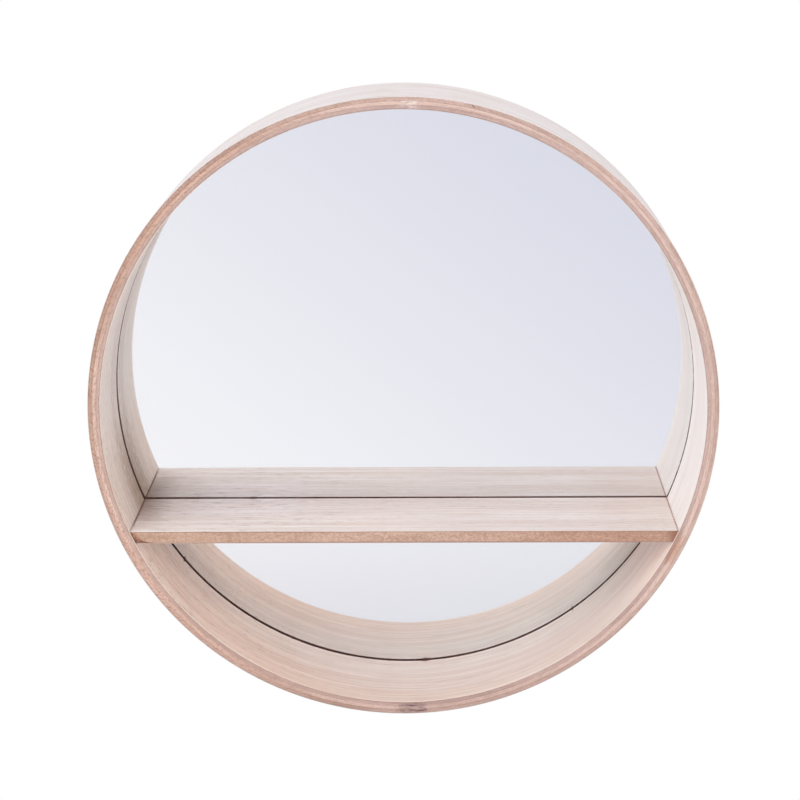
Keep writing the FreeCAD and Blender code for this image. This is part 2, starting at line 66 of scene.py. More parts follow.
class Wire:
    """One socket of a node tree. A sum written with wires adds its Math nodes to the tree."""

    def __init__(self, tree, socket=None):
        self.tree = tree
        self.socket = socket

    def add(self, kind, settings, sockets, output=0):
        """Adds any node: its settings are set first, then its sockets get values or wires."""
        node = self.tree.nodes.new(kind)
        for name, value in settings.items():
            setattr(node, name, value)
        for name, value in sockets.items():
            if isinstance(value, Wire):
                self.tree.links.new(value.socket, node.inputs[name])
            else:
                node.inputs[name].default_value = value
        return Wire(self.tree, node.outputs[output] if node.outputs else None)

    def twin(self, name):
        """Another output of the same node."""
        return Wire(self.tree, self.socket.node.outputs[name])

    def math(self, operation, *values):
        return self.add("ShaderNodeMath", {"operation": operation}, dict(enumerate(values)))

    def __add__(self, other):
        return self.math("ADD", self, other)

    def __radd__(self, other):
        return self.math("ADD", other, self)

    def __sub__(self, other):
        return self.math("SUBTRACT", self, other)

    def __rsub__(self, other):
        return self.math("SUBTRACT", other, self)

    def __mul__(self, other):
        return self.math("MULTIPLY", self, other)

    def __rmul__(self, other):
        return self.math("MULTIPLY", other, self)

    def __truediv__(self, other):
        return self.math("DIVIDE", self, other)

    def __rtruediv__(self, other):
        return self.math("DIVIDE", other, self)

    def __pow__(self, other):
        return self.math("POWER", self, other)

    def __rpow__(self, other):
        return self.math("POWER", other, self)

    def __gt__(self, other):
        return self.math("GREATER_THAN", self, other)

    def __lt__(self, other):
        return self.math("LESS_THAN", self, other)

    def __abs__(self):
        return self.math("ABSOLUTE", self)


def size_tree(name, sizes):
    """A Geometry Nodes tree with a named input for each size and for the material."""
    tree = bpy.data.node_groups.new(name, "GeometryNodeTree")
    for size in sizes:
        tree.interface.new_socket(size, in_out="INPUT", socket_type="NodeSocketFloat")
    tree.interface.new_socket("Material", in_out="INPUT", socket_type="NodeSocketMaterial")
    tree.interface.new_socket("Geometry", in_out="OUTPUT", socket_type="NodeSocketGeometry")
    inputs = tree.nodes.new("NodeGroupInput")
    return tree, {socket.name: Wire(tree, socket) for socket in inputs.outputs if socket.name}


def close_tree(shape, material):
    """Ends a tree with real faces in the piece's material."""
    real = shape.add("GeometryNodeRealizeInstances", {}, {"Geometry": shape})
    dressed = shape.add("GeometryNodeSetMaterial", {}, {"Geometry": real, "Material": material})
    shape.add("NodeGroupOutput", {}, {0: dressed})


def add_object(name, data):
    """A new object at the origin of the scene."""
    piece = bpy.data.objects.new(name, data)
    bpy.context.scene.collection.objects.link(piece)
    return piece


def take_over(piece, node):
    """A finished piece stands for its CAD node, which is hidden."""
    piece.data.polygons.foreach_set("use_smooth", [True] * len(piece.data.polygons))
    piece.data.set_sharp_from_angle(angle=SHARP_FROM)
    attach(piece, "root")
    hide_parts(node)


def grow(tree, name, node, material, sizes):
    """Runs a tree with these sizes and keeps what it makes as one plain mesh."""
    piece = add_object(name, bpy.data.meshes.new(name))
    modifier = piece.modifiers.new("shape", "NODES")
    modifier.node_group = tree
    for item in tree.interface.items_tree:
        if item.in_out == "INPUT":
            modifier[item.identifier] = material if item.name == "Material" else float(sizes[item.name])
    bpy.context.view_layer.update()
    ready = piece.evaluated_get(bpy.context.evaluated_depsgraph_get())
    mesh = bpy.data.meshes.new_from_object(ready)
    piece.modifiers.remove(modifier)
    piece.data = mesh
    take_over(piece, node)


def vector(start, x=0.0, y=0.0, z=0.0):
    """Three values as one vector."""
    return start.add("ShaderNodeCombineXYZ", {}, {"X": x, "Y": y, "Z": z})


LAYER_SIZES = ("Outer Radius", "Inner Radius", "Front", "Back", "Arris", "Joint", "Gap", "Axis Height",
               "Ragged")
bent_layer, size = size_tree("bent layer", LAYER_SIZES)
middle = (size["Outer Radius"] + size["Inner Radius"]) / 2
half_gap = size["Gap"] / middle / 2
strip_path = middle.add("GeometryNodeCurveArc", {"mode": "RADIUS"}, {
    "Resolution": STRIP_STEPS, "Radius": middle, "Start Angle": size["Joint"] + half_gap,
    "Sweep Angle": 2 * math.pi - half_gap * 2})
strip_path = middle.add("GeometryNodeSetCurveNormal", {"mode": "Z_UP"}, {"Curve": strip_path})
depth = size["Front"] - size["Back"]
section = middle.add("GeometryNodeCurvePrimitiveQuadrilateral", {"mode": "RECTANGLE"}, {
    "Width": size["Outer Radius"] - size["Inner Radius"], "Height": depth})
section = middle.add("GeometryNodeFilletCurve", {"mode": "POLY"}, {
    "Curve": section, "Count": ARRIS_STEPS, "Radius": size["Arris"], "Limit Radius": True})
strip = middle.add("GeometryNodeCurveToMesh", {}, {
    "Curve": strip_path, "Profile Curve": section, "Fill Caps": True})
place = middle.add("GeometryNodeInputPosition", {}, {})
local = middle.add("ShaderNodeSeparateXYZ", {}, {"Vector": place})
at_back = local.twin("Z") < depth * -0.5 + FRAYED_DEPTH
fray = middle.add("ShaderNodeTexNoise", {}, {
    "Vector": place, "Scale": 260.0, "Detail": 4.0, "Roughness": 0.65})
bite = middle.math("MAXIMUM", fray - 0.5, 0.0) * size["Ragged"] * at_back
strip = middle.add("GeometryNodeSetPosition", {}, {"Geometry": strip, "Offset": vector(middle, z=bite)})
strip = middle.add("GeometryNodeTransform", {}, {
    "Geometry": strip, "Rotation": (math.pi / 2, 0, 0),
    "Translation": vector(middle, y=(size["Front"] + size["Back"]) * -0.5, z=size["Axis Height"])})
close_tree(strip, size["Material"])


def bend(node, material, outer, thickness, back, arris, joint, ragged=0.0):
    """One bent layer of the hoop, open at its joint."""
    grow(bent_layer, node.replace("hoop", "bent"), node, material, {
        "Outer Radius": outer, "Inner Radius": outer - thickness, "Front": HOOP_FRONT, "Back": back,
        "Arris": arris, "Joint": joint * math.pi / 2, "Gap": BUTT_GAP, "Axis Height": AXIS_HEIGHT,
        "Ragged": ragged})


def tint(red, green, blue):
    """A colour in linear light, from the 0 to 255 steps of a colour card."""
    steps = (value / 255 for value in (red, green, blue))
    return (*(s / 12.92 if s < 0.04045 else ((s + 0.055) / 1.055) ** 2.4 for s in steps), 1.0)


def new_material(name):
    """An empty material, and a wire that its nodes start from."""
    material = bpy.data.materials.new(name)
    material.use_nodes = True
    material.node_tree.nodes.clear()
    return material, Wire(material.node_tree)


def point_of(start):
    """The three coordinates of the point that is shaded, in metres."""
    split = start.add("ShaderNodeSeparateXYZ", {}, {
        "Vector": start.add("ShaderNodeTexCoord", {}, {}, "Object")})
    return split.twin("X"), split.twin("Y"), split.twin("Z")


def cloud(start, x, y, z, detail=2.0, roughness=0.5):
    """Smooth random values about 0.5 that turn over about once a step of 1 in x, y or z."""
    return start.add("ShaderNodeTexNoise", {}, {
        "Vector": vector(start, x, y, z), "Scale": 1.0, "Detail": detail, "Roughness": roughness})


def crumbs(start, x, y, z, roughness=0.6):
    """The same values, but with more and rougher detail."""
    return cloud(start, x, y, z, detail=3.0, roughness=roughness)


def rise_from(value, low, high):
    """0 below low, 1 above high, and a smooth rise between them."""
    return value.add("ShaderNodeMapRange", {"interpolation_type": "SMOOTHSTEP"}, {
        "Value": value, "From Min": low, "From Max": high})


def blend(share, one, other, how="MIX"):
    """One colour where share is 0 and the other, or one times the other, where it is 1."""
    return share.add("ShaderNodeMix", {"data_type": "RGBA", "blend_type": how}, {
        0: share, 6: one, 7: other}, 2)


def shaded(colour, *places):
    """The colour times each place's change where its share is 1. Above 1 a change makes it lighter."""
    for share, change in places:
        colour = blend(share, colour, (*change[:3], 1.0), "MULTIPLY")
    return colour


def close_material(start, sockets, relief=None, relief_depth=0.0):
    """Ends a material with its shader, and with the fine relief that catches the light."""
    if relief is not None:
        sockets["Normal"] = start.add("ShaderNodeBump", {}, {
            "Strength": 1.0, "Distance": relief_depth, "Height": relief})
    shader = start.add("ShaderNodeBsdfPrincipled", {}, sockets)
    start.add("ShaderNodeOutputMaterial", {}, {"Surface": shader})


def hoop_radius(x, z):
    """Distance from the hoop's axis, in metres."""
    height = z - AXIS_HEIGHT
    return (x * x + height * height) ** 0.5


def along_hoop(x, z, radius, joint):
    """Distance round the hoop from the side away from the joint, in metres."""
    return x.math("ARCTAN2", x, (z - AXIS_HEIGHT) * -joint) * radius


def on_hoop(turn, radius):
    """The x and z of a point at a turn in degrees clockwise from the top of the hoop."""
    return radius * math.sin(math.radians(turn)), AXIS_HEIGHT + radius * math.cos(math.radians(turn))


def leftness(x):
    """0 a little right of the middle and 1 at the far left of the hoop."""
    return rise_from(x, 60 * MM, -280 * MM)


def patch_at_end(start, side, middle_x, half_width, middle_radius, half_height):
    """A soft, uneven patch on the hoop's edge at its top or bottom, 1 inside and 0 outside."""
    x, y, z = point_of(start)
    uneven = crumbs(start, x * 330, z * 520, y * 20) - 0.5
    sideways = abs(x - middle_x) / half_width
    outward = abs(hoop_radius(x, z) - middle_radius) / half_height
    inside = rise_from(start.math("MAXIMUM", sideways, outward) + uneven * 1.1, 1.15, 0.7)
    return inside * ((z - AXIS_HEIGHT) * side > 0.0)


def patch_at_turn(start, turn, half_length, middle_radius, half_height):
    """A soft, uneven patch on the hoop's edge, at a turn in degrees clockwise from the top."""
    x, y, z = point_of(start)
    middle_x, middle_z = on_hoop(turn, middle_radius)
    uneven = crumbs(start, x * 210, z * 210, y * 20) - 0.5
    away = ((x - middle_x) ** 2 + (z - middle_z) ** 2) ** 0.5
    reach = (away / half_length) ** 2 + ((hoop_radius(x, z) - middle_radius) / half_height) ** 2
    return rise_from(reach + uneven * 1.6, 1.6, 0.2)


def scratch(start, turn, half_length, middle_radius, half_width, lean):
    """A slanted scratch across the hoop's edge, 1 in it and 0 beside it. It leans by degrees."""
    x, _, z = point_of(start)
    middle_x, middle_z = on_hoop(turn, middle_radius)
    aside, above = x - middle_x, z - middle_z
    level, steep = math.cos(math.radians(lean)), math.sin(math.radians(lean))
    lengthwise = (aside * level - above * steep) / half_length
    across = (aside * steep + above * level) / half_width
    return rise_from(lengthwise ** 2 + across ** 2, 1.4, 0.5)


LEFT_SIDE, LOW_SIDE = tint(245, 233, 218), tint(245, 241, 240)
SANDING_TICK, SQUEEZED_GLUE = tint(150, 108, 90), tint(132, 106, 98)
# The dark seat colour is the boards' dark end with painted shade of the gap at the mirror over it.
SEAT_START, DARK_END_AND_SHADE = -SEAT - 0.3 * MM, tint(100, 34, 4)
WORN_PATCH = dict(turn=117.4, half_length=17 * MM, middle_radius=291.6 * MM, half_height=4.6 * MM)
RUBBED_SPOT = dict(turn=-119.7, half_length=2 * MM, middle_radius=290.6 * MM, half_height=1.6 * MM)
SCRATCH = dict(turn=13, half_length=2 * MM, middle_radius=297.9 * MM, half_width=0.7 * MM, lean=51)
SCUFF = dict(middle_x=7 * MM, half_width=8 * MM, middle_radius=293.9 * MM, half_height=2.4 * MM)
FAINT_SCUFF = dict(middle_x=10.5 * MM, half_width=4.5 * MM, middle_radius=291 * MM, half_height=3.2 * MM)
STAIN = dict(middle_x=7 * MM, half_width=14 * MM, middle_radius=294.3 * MM, half_height=5.2 * MM)
STAIN_ROWS = ((292.6 * MM, 1.1 * MM), (297 * MM, 1.2 * MM))
WORN_COLOUR, RUBBED_COLOUR = (0.84, 0.7, 0.6), tint(180, 125, 95)
SCRATCH_COLOUR, SCUFF_COLOUR, STAIN_COLOUR = tint(122, 94, 86), tint(240, 230, 224), tint(98, 71, 76)


def bent_board(name, dark, light, warmth, seed, joint, drifts, bears_mirror=False):
    """Raw fibreboard edge: felted specks, short sanding ticks and soft lines along the strip.

    Its tone drifts round the hoop. Each drift is a turn from the top, a reach, both in degrees, and
    the change of colour.
    """
    material, start = new_material(name)
    x, y, z = point_of(start)
    radius = hoop_radius(x, z)
    along = along_hoop(x, z, radius, joint)
    specks = crumbs(start, along * 620, radius * 1150, y * 300 + seed)
    lines = cloud(start, along * 10, radius * 900, y * 40 + seed)
    mottle = crumbs(start, along * 190, radius * 380, y * 60 + seed)
    slow = cloud(start, along * 11, radius * 90, y * 3 + seed)
    tone = rise_from(specks * 0.28 + lines * 0.27 + mottle * 0.25 + slow * 0.2, 0.36, 0.64)
    leftward = leftness(x)
    colour = shaded(blend(tone, dark, light),
                    (leftward * warmth, LEFT_SIDE),
                    (rise_from(z - AXIS_HEIGHT, -150 * MM, -300 * MM), LOW_SIDE))
    for turn, reach, change in drifts:
        turn, reach = math.radians(turn), math.radians(reach)
        closeness = (x * math.sin(turn) + (z - AXIS_HEIGHT) * math.cos(turn)) / radius
        near = rise_from(closeness, math.cos(reach), math.cos(reach * 0.4))
        colour = shaded(colour, (near, change))

    slant = along + radius * 0.7
    ticks = cloud(start, slant * 420, (radius - along * 0.2) * 300, seed, detail=3.0)
    chatter = start.math("SINE", slant * 1370 + cloud(start, along * 25, seed, 0.0) * 14)
    chattered = rise_from(radius, 293 * MM, 298 * MM)
    chattered = chattered * rise_from(cloud(start, along * 14, seed, 5.0), 0.4, 0.55)
    ticks = rise_from(ticks + chatter * chattered * 0.09, 0.5, 0.66)
    colour = blend(ticks * (leftward * 0.42 + 0.14) * warmth * 1.5, colour, SANDING_TICK)

    worn = patch_at_turn(start, **WORN_PATCH) * (rise_from(lines, 0.4, 0.56) * 0.35 + 0.75)
    colour = shaded(colour, (worn, WORN_COLOUR))
    colour = blend(patch_at_turn(start, **RUBBED_SPOT) * 0.7, colour, RUBBED_COLOUR)
    colour = blend(scratch(start, **SCRATCH) * 0.8, colour, SCRATCH_COLOUR)
    scuffed = start.math("MAXIMUM", patch_at_end(start, TOP, **SCUFF),
                         patch_at_end(start, TOP, **FAINT_SCUFF) * 0.6)
    colour = blend(scuffed * rise_from(specks + mottle, 0.74, 1.14) * 0.5, colour, SCUFF_COLOUR)
    streaks = rise_from(crumbs(start, along * 120, radius * 640, y * 10), 0.44, 0.6)
    rows = [rise_from(abs(radius - row), half_width, 0.3 * MM) for row, half_width in STAIN_ROWS]
    stained = streaks * (start.math("MAXIMUM", *rows) * 0.72 + 0.36) + 0.24
    colour = blend(patch_at_end(start, BOTTOM, **STAIN) * stained, colour, STAIN_COLOUR)
    if bears_mirror:
        glue = rise_from(radius, INNER_BOARD_RADIUS - BOARD + 0.7 * MM, INNER_BOARD_RADIUS - BOARD)
        colour = blend(glue * 0.5, colour, SQUEEZED_GLUE)
        # Painted shade of the gap at the mirror, over the inner board's dark end.
        colour = blend(rise_from(y, SEAT_START, SEAT_START + 0.3 * MM), colour, DARK_END_AND_SHADE)
    close_material(start, {"Base Color": colour, "Roughness": 0.78 - tone * 0.1},
                   relief=specks * 0.5 + lines * 0.2 + mottle * 0.3, relief_depth=0.08 * MM)
    return material


outer_finish = bent_board(
    "outer bent board", dark=tint(172, 141, 129), light=tint(214, 184, 174), warmth=0.8, seed=1.0,
    joint=BOTTOM, drifts=(
        (-50, 38, (0.87, 0.85, 0.87)), (21, 10, (0.88, 0.87, 0.87)), (72, 24, (0.92, 0.92, 0.92)),
        (167, 43, (0.9, 0.9, 0.9)), (-161, 15, (0.88, 0.86, 0.83)), (-128, 38, (1.15, 1.19, 1.27))))
middle_finish = bent_board(
    "middle bent board", dark=tint(186, 155, 144), light=tint(223, 195, 185), warmth=0.62, seed=12.0,
    joint=TOP, drifts=(
        (-97, 24, (1.09, 1.14, 1.19)), (-45, 24, (1.0, 0.94, 0.9)), (-130, 24, (1.08, 1.07, 1.07)),
        (163, 10, (1.12, 1.13, 1.14))))
inner_finish = bent_board(
    "inner bent board", dark=tint(170, 142, 134), light=tint(206, 178, 170), warmth=0.3, seed=23.0,
    joint=BOTTOM, bears_mirror=True, drifts=(
        (169, 13, (0.88, 0.87, 0.87)), (125, 14, (0.9, 0.88, 0.88))))
for layer, finish, outer, back, joint in (
        ("outer", outer_finish, OUTER_BOARD_RADIUS, 0.0, BOTTOM),
        ("middle", middle_finish, MIDDLE_BOARD_RADIUS, 0.0, TOP),
        ("inner", inner_finish, INNER_BOARD_RADIUS, SEAT, BOTTOM)):
    bend(f"hoop_{layer}_ply", finish, outer, BOARD, back, BOARD_ARRIS, joint)


# The hoop's veneers. Thin sliced sheets of a pale, straight-grained wood are glued on inside and
# outside with the grain running round the hoop, sanded matt and left bare. Light and shade are
# painted over both. The inner sheet ends raggedly at the mirror, in a dark seam that is its dark
# end with painted shade of the gap at the mirror over it.
VENEER = 0.55 * MM
VENEER_ARRIS = 0.2 * MM
RAGGED_END = 1.5 * MM
OUTER_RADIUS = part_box("hoop_outer_veneer")[1].x
INNER_VENEER_RADIUS = INNER_BOARD_RADIUS - BOARD - GLUE_LINE
INNER_RADIUS = INNER_VENEER_RADIUS - VENEER
SHELF_TOP, SHELF_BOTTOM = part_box("shelf_top_veneer")[1].z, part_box("shelf_bottom_veneer")[0].z
WARM_TONES = tint(212, 193, 183), tint(246, 238, 234)
COOL_TONES = tint(228, 216, 212), tint(243, 237, 236)
FIGURE, DARK_DASH, PORE = tint(222, 200, 188), tint(172, 150, 141), tint(172, 146, 133)
PALE_LIP, CHIPPED_LIP = tint(250, 240, 233), tint(166, 132, 114)
INNER_END_GRAIN, OUTER_END_SHADE = tint(226, 200, 184), tint(132, 112, 104)
BROAD_DARK, BROAD_LIGHT = tint(212, 178, 160), tint(240, 228, 218)
RIGHT_WALL_LIGHT = tint(226, 224, 224)
TOP_LIP_SHADE, SCORCHED_JOINT = tint(158, 134, 134), tint(124, 66, 40)
FLAKE_DARK, FLAKE_LIGHT = tint(208, 164, 144), tint(246, 234, 224)
BROKEN_DARK, BROKEN_LIGHT = tint(150, 122, 106), tint(242, 232, 226)
NICKS = ((-111.5, 1.7 * MM, 5.1 * MM), (-128.7, 2.0 * MM, 6.0 * MM),
         (144, 1.5 * MM, 4.5 * MM), (176.2, 6.5 * MM, 2.6 * MM))


def pale_wood(start, along, across, tones, dashes, seed):
    """Colour, roughness and relief of the pale veneer, from distances along and across its grain."""
    wander = (cloud(start, along * 5, across * 12, seed + 41) - 0.5) * 0.012
    course = across + wander
    bands = cloud(start, along * 1.1 + seed, course * 75, seed)
    growth = crumbs(start, along * 4 + seed, course * 290, seed + 3)
    fine = crumbs(start, along * 22, course * 1150, seed + 7)
    pores = rise_from(cloud(start, along * 70, course * 1500, seed + 11), 0.58, 0.72)
    figure = rise_from(cloud(start, along * 9, course * 45, seed + 17), 0.48, 0.74)
    tone = rise_from(bands * 0.24 + growth * 0.46 + fine * 0.3, 0.32, 0.66)
    colour = blend(figure * 0.45, blend(tone, *tones), FIGURE)
    thick = rise_from(cloud(start, along * 6, course * 26, seed + 29), 0.38, 0.62)
    bold = rise_from(cloud(start, along * 28 * dashes, course * 300, seed + 37), 0.55, 0.7)
    thin = rise_from(cloud(start, along * 45 * dashes, course * 720, seed + 23), 0.58, 0.72)
    dashed = start.math("MAXIMUM", bold * 0.34, thin * 0.4) * (thick * 0.75 + 0.25)
    colour = blend(pores * 0.2, blend(dashed, colour, DARK_DASH), PORE)
    return colour, 0.57 + pores * 0.1, fine * 0.6 + growth * 0.4 - pores * 0.5


def broken_grain(colour, values, dark_share, dark, light_share, light):
    """Streaks of broken grain, dark where the values are high and light where they are low."""
    colour = blend(rise_from(values, 0.56, 0.7) * dark_share, colour, dark)
    return blend(rise_from(values, 0.46, 0.32) * light_share, colour, light)


def lowness(z):
    """0 at the height of the hoop's axis and 1 near its bottom."""
    return rise_from(z - AXIS_HEIGHT, -20 * MM, -260 * MM)


def backwardness(y):
    """0 at the hoop's front edge and 1 at the mirror."""
    return rise_from(y, -HOOP_FRONT, -SEAT)


def inner_tones_and_painted_light(start, colour, along, seed):
    """The inner veneer's broad tone, with painted light and shade over it from front to back and from side
    to side.
    """
    x, y, z = point_of(start)
    height, over_shelf = z - AXIS_HEIGHT, z - SHELF_TOP
    low, backward, leftward = lowness(z), backwardness(y), leftness(x)
    rightward = rise_from(x, 40 * MM, 270 * MM)
    # Painted light: lighter low down towards the mirror and on the left, most of all low on the left.
    colour = shaded(colour,
                    (low * backward, (1.12, 1.19, 1.22)),
                    (low * (1 - backward) * 0.6, tint(255, 246, 240)),
                    (leftward * (1 - backward * 0.4), (1.07, 1.065, 1.05)),
                    (low * leftward, (1.22, 1.13, 1.07)))
    broad = cloud(start, along * 3, y * 32, seed + 71)
    broad_share = low * (abs(x) / INNER_RADIUS * 0.7 + 0.3)
    colour = blend(broad_share * rise_from(broad, 0.5, 0.66) * 0.4, colour, BROAD_DARK)
    colour = blend(broad_share * rise_from(broad, 0.48, 0.34) * 0.5, colour, BROAD_LIGHT)

    # Painted light and shade: lighter at the bottom, warmer under the right end of the shelf, and a little
    # darker at the foot and just above the shelf.
    bottom = low * rise_from(y, -125 * MM, -100 * MM) * rise_from(x, -150 * MM, -20 * MM)
    bottom = bottom * (1 - rise_from(y, -70 * MM, -40 * MM) * 0.6)
    foot = low * rise_from(y, -90 * MM, -115 * MM) * rise_from(x, 110 * MM, 190 * MM)
    below_shelf = (over_shelf < 0.0) * rise_from(over_shelf, -90 * MM, -20 * MM)
    sunk = (over_shelf > 0.0) * rise_from(height, 20 * MM, -70 * MM)
    sunk_left = sunk * rise_from(x, -190 * MM, -240 * MM) * rise_from(over_shelf, 0.0, 45 * MM)
    colour = shaded(colour,
                    (bottom, (1.02, 1.045, 1.07)),
                    (foot, tint(251, 249, 247)),
                    (below_shelf * rise_from(x, 190 * MM, 225 * MM), (1.16, 1.04, 0.985)),
                    (sunk_left, tint(253, 249, 244)),
                    (sunk * rise_from(x, 200 * MM, 260 * MM), tint(249, 249, 249)))

    # Painted light: the right wall is paler, as where the light from the left falls on it.
    level = rise_from(height, -220 * MM, -60 * MM) * 0.35 + 0.2
    colour = blend(rightward * level, colour, RIGHT_WALL_LIGHT)
    # Painted shade: darker and browner in the corner above the left end of the shelf, and darker towards the
    # mirror on the left. Painted light towards the mirror on the right.
    corner = rise_from(x, -215 * MM, -268 * MM) * rise_from(over_shelf, 110 * MM, 8 * MM)
    corner = corner * (over_shelf > 0.0)
    return shaded(colour,
                  (leftward * backward * 0.8, tint(245, 244, 243)),
                  (rightward * rise_from(y, -65 * MM, -SEAT), (1.06, 1.06, 1.06)),
                  (corner * (backward * backward * 0.8 + 0.2), tint(184, 166, 145)))


def inner_marks(start, colour, along, seed):
    """The inner veneer's painted shade under its top lip, its flaked and broken grain, and the scorched
    shelf joint.
    """
    x, y, z = point_of(start)
    height, behind = z - AXIS_HEIGHT, y + HOOP_FRONT
    # Painted shade on the front lip under the top of the hoop.
    top_lip_shade = rise_from(height, 200 * MM, 270 * MM) * rise_from(behind, 2 * MM, 0.0)
    colour = blend(top_lip_shade * 0.6, colour, TOP_LIP_SHADE)
    flakes = crumbs(start, along * 210, y * 150, seed)
    flaked = rise_from(behind, 14 * MM, 2 * MM) * rise_from(x, -150 * MM, -215 * MM)
    flaked = flaked * (z < SHELF_TOP)
    colour = blend(flaked * rise_from(flakes, 0.54, 0.62) * 0.55, colour, FLAKE_DARK)
    colour = blend(flaked * rise_from(flakes, 0.46, 0.38) * 0.7, colour, FLAKE_LIGHT)
    colour = broken_grain(colour, crumbs(start, along * 110, y * 190, seed + 83),
                          leftness(x) * 0.4, BROKEN_DARK, leftness(x) * 0.45, BROKEN_LIGHT)
    in_joint = (z > SHELF_BOTTOM) * (z < SHELF_TOP) * rise_from(behind, 1 * MM, 9 * MM)
    return blend(in_joint * rise_from(x, -200 * MM, -220 * MM), colour, SCORCHED_JOINT)


def seam_with_shade(start, along):
    """1 in the ragged seam and the nicks of the inner veneer's rear end, 0 in front of them. The seam is
    painted shade of the gap at the mirror over the dark end, wider on the left.
    """
    x, y, z = point_of(start)
    height, leftward = z - AXIS_HEIGHT, leftness(x)
    frayed = crumbs(start, along * 330, hoop_radius(x, z) * 200, y * 60, roughness=0.65)
    width = rise_from(height, 140 * MM, 0.0) * (leftward * 1.95 + 0.1)
    width = width + rise_from(height, -100 * MM, -200 * MM) * (1 - leftward) * 0.7
    near_shelf = rise_from(height, 20 * MM, -40 * MM) * (z > SHELF_TOP)
    width = (width + near_shelf * leftward * 0.6) * 0.8 * MM
    seam = rise_from(y + (frayed - 0.5) * 1.6 * MM + width, SEAT_START, SEAT_START + 0.25 * MM)
    for turn, length, depth in NICKS:
        nick_x, nick_z = on_hoop(turn, INNER_RADIUS)
        aside = abs(x - nick_x) + abs(z - nick_z)
        nick = rise_from(aside / length + abs(y + SEAT) / depth, 1.6, 0.8)
        seam = start.math("MAXIMUM", seam, nick)
    return seam


def hoop_veneer(name, tones, seed, joint, bears_mirror=False):
    """Veneer with its grain bent round the hoop, a little warmer in the lower half, with painted light and
    shade.
    """
    material, start = new_material(name)
    x, y, z = point_of(start)
    radius = hoop_radius(x, z)
    along = along_hoop(x, z, radius, joint)
    low, behind = lowness(z), y + HOOP_FRONT
    colour, roughness, relief = pale_wood(start, along, y + radius * 0.5, tones, dashes=1.0, seed=seed)
    colour = shaded(colour, (low * 0.35, tint(255, 244, 235)))
    chips = crumbs(start, along * 260, radius * 900, y * 260)
    lip = rise_from(behind + chips * 0.8 * MM, 1.0 * MM, 0.4 * MM)
    colour = blend(lip * (leftness(x) * rise_from(chips, 0.3, 0.56) * 0.55 + 0.1), colour, PALE_LIP)
    colour = blend(lip * rise_from(chips, 0.58, 0.7) * 0.6, colour, CHIPPED_LIP)
    front_end = rise_from(behind, 0.4 * MM, 0.1 * MM)
    if bears_mirror:
        colour = blend(front_end * 0.7, colour, INNER_END_GRAIN)
        colour = inner_tones_and_painted_light(start, colour, along, seed)
        colour = inner_marks(start, colour, along, seed)
        # The rear seam: the dark end with painted shade of the gap at the mirror over it.
        colour = blend(seam_with_shade(start, along), colour, DARK_END_AND_SHADE)
    else:
        # Painted shade on the left of the outer veneer, where the key lamp falls strongest, and painted
        # light on its right.
        colour = shaded(colour,
                        (rise_from(x, 90 * MM, -290 * MM), (0.78, 0.785, 0.79)),
                        (rise_from(x, -20 * MM, 130 * MM), (1.07, 1.07, 1.07)))
        # Painted shade on the outer veneer's front end, deeper low down.
        colour = blend(front_end * (low * 0.5 + 0.1), colour, OUTER_END_SHADE)
    close_material(start, {"Base Color": colour, "Roughness": roughness},
                   relief=relief, relief_depth=0.05 * MM)
    return material


bend("hoop_outer_veneer", hoop_veneer("outer veneer", COOL_TONES, 5.0, BOTTOM),
     OUTER_RADIUS, VENEER, 0.0, VENEER_ARRIS, BOTTOM)
bend("hoop_inner_veneer", hoop_veneer("inner veneer", WARM_TONES, 31.0, TOP, bears_mirror=True),
     INNER_VENEER_RADIUS, VENEER, SEAT, VENEER_ARRIS, TOP, ragged=RAGGED_END)


# The dowels. Two turned beech dowels join each end of the shelf to the hoop. They are glued into
# holes in both, so none of them shows.
def straight_wood(name, dark, light, seed, ring_step):
    """Solid wood with its rings and pores drawn out from left to right."""
    material, start = new_material(name)
    x, y, z = point_of(start)
    rings = cloud(start, x * 3 + seed, y / ring_step, z / ring_step, detail=3.0)
    pores = cloud(start, x * 60 + seed, y * 2400, z * 2400)
    tone = rise_from(rings * 0.7 + pores * 0.3, 0.35, 0.65)
    close_material(start, {"Base Color": blend(tone, dark, light), "Roughness": 0.7 - tone * 0.1},
                   relief=rings * 0.4 + pores * 0.6, relief_depth=0.06 * MM)
    return material


beech = straight_wood("beech", tint(196, 158, 120), tint(222, 188, 150), seed=2.0, ring_step=2 * MM)
for node in ("shelf_dowels_left", "shelf_dowels_right"):
    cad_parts[node].data.materials[0] = beech


# The shelf. A straight board of raw fibreboard is veneered above and below and cut at both ends to
# the curve of the hoop. Its warm, speckled front edge is left bare. The left end was cut a little
# short towards the mirror, and its lower front corner is bruised.
shelf_low, shelf_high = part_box("shelf_core")
SHELF_FRONT, SHELF_BACK = shelf_low.y, shelf_high.y
CORE_BOTTOM, CORE_TOP = shelf_low.z, shelf_high.z
SHELF_ARRIS = 0.25 * MM
END_GAP = 0.3 * MM
SHORT_CUT = 0.7 * MM
LEFT, RIGHT = -1, 1
CORNER_SHADE, UNDER_EDGE_SHADE = (0.29, 0.175, 0.09), (0.6, 0.5, 0.46)
GRAIN_DARK, GRAIN_LIGHT = tint(138, 112, 104), tint(246, 236, 232)
SINGED_LEFT, SINGED_RIGHT = tint(112, 56, 30), tint(142, 90, 68)
CORE_TONES = tint(166, 129, 108), tint(204, 171, 152)
CORE_GLUE, TORN_TONES = tint(132, 96, 80), (tint(94, 50, 34), tint(188, 134, 108))
BRUISED_END = tint(138, 92, 64)


def wave(*place):
    """A smooth random number from -1 to 1 at a place."""
    return noise.noise(Vector(place))


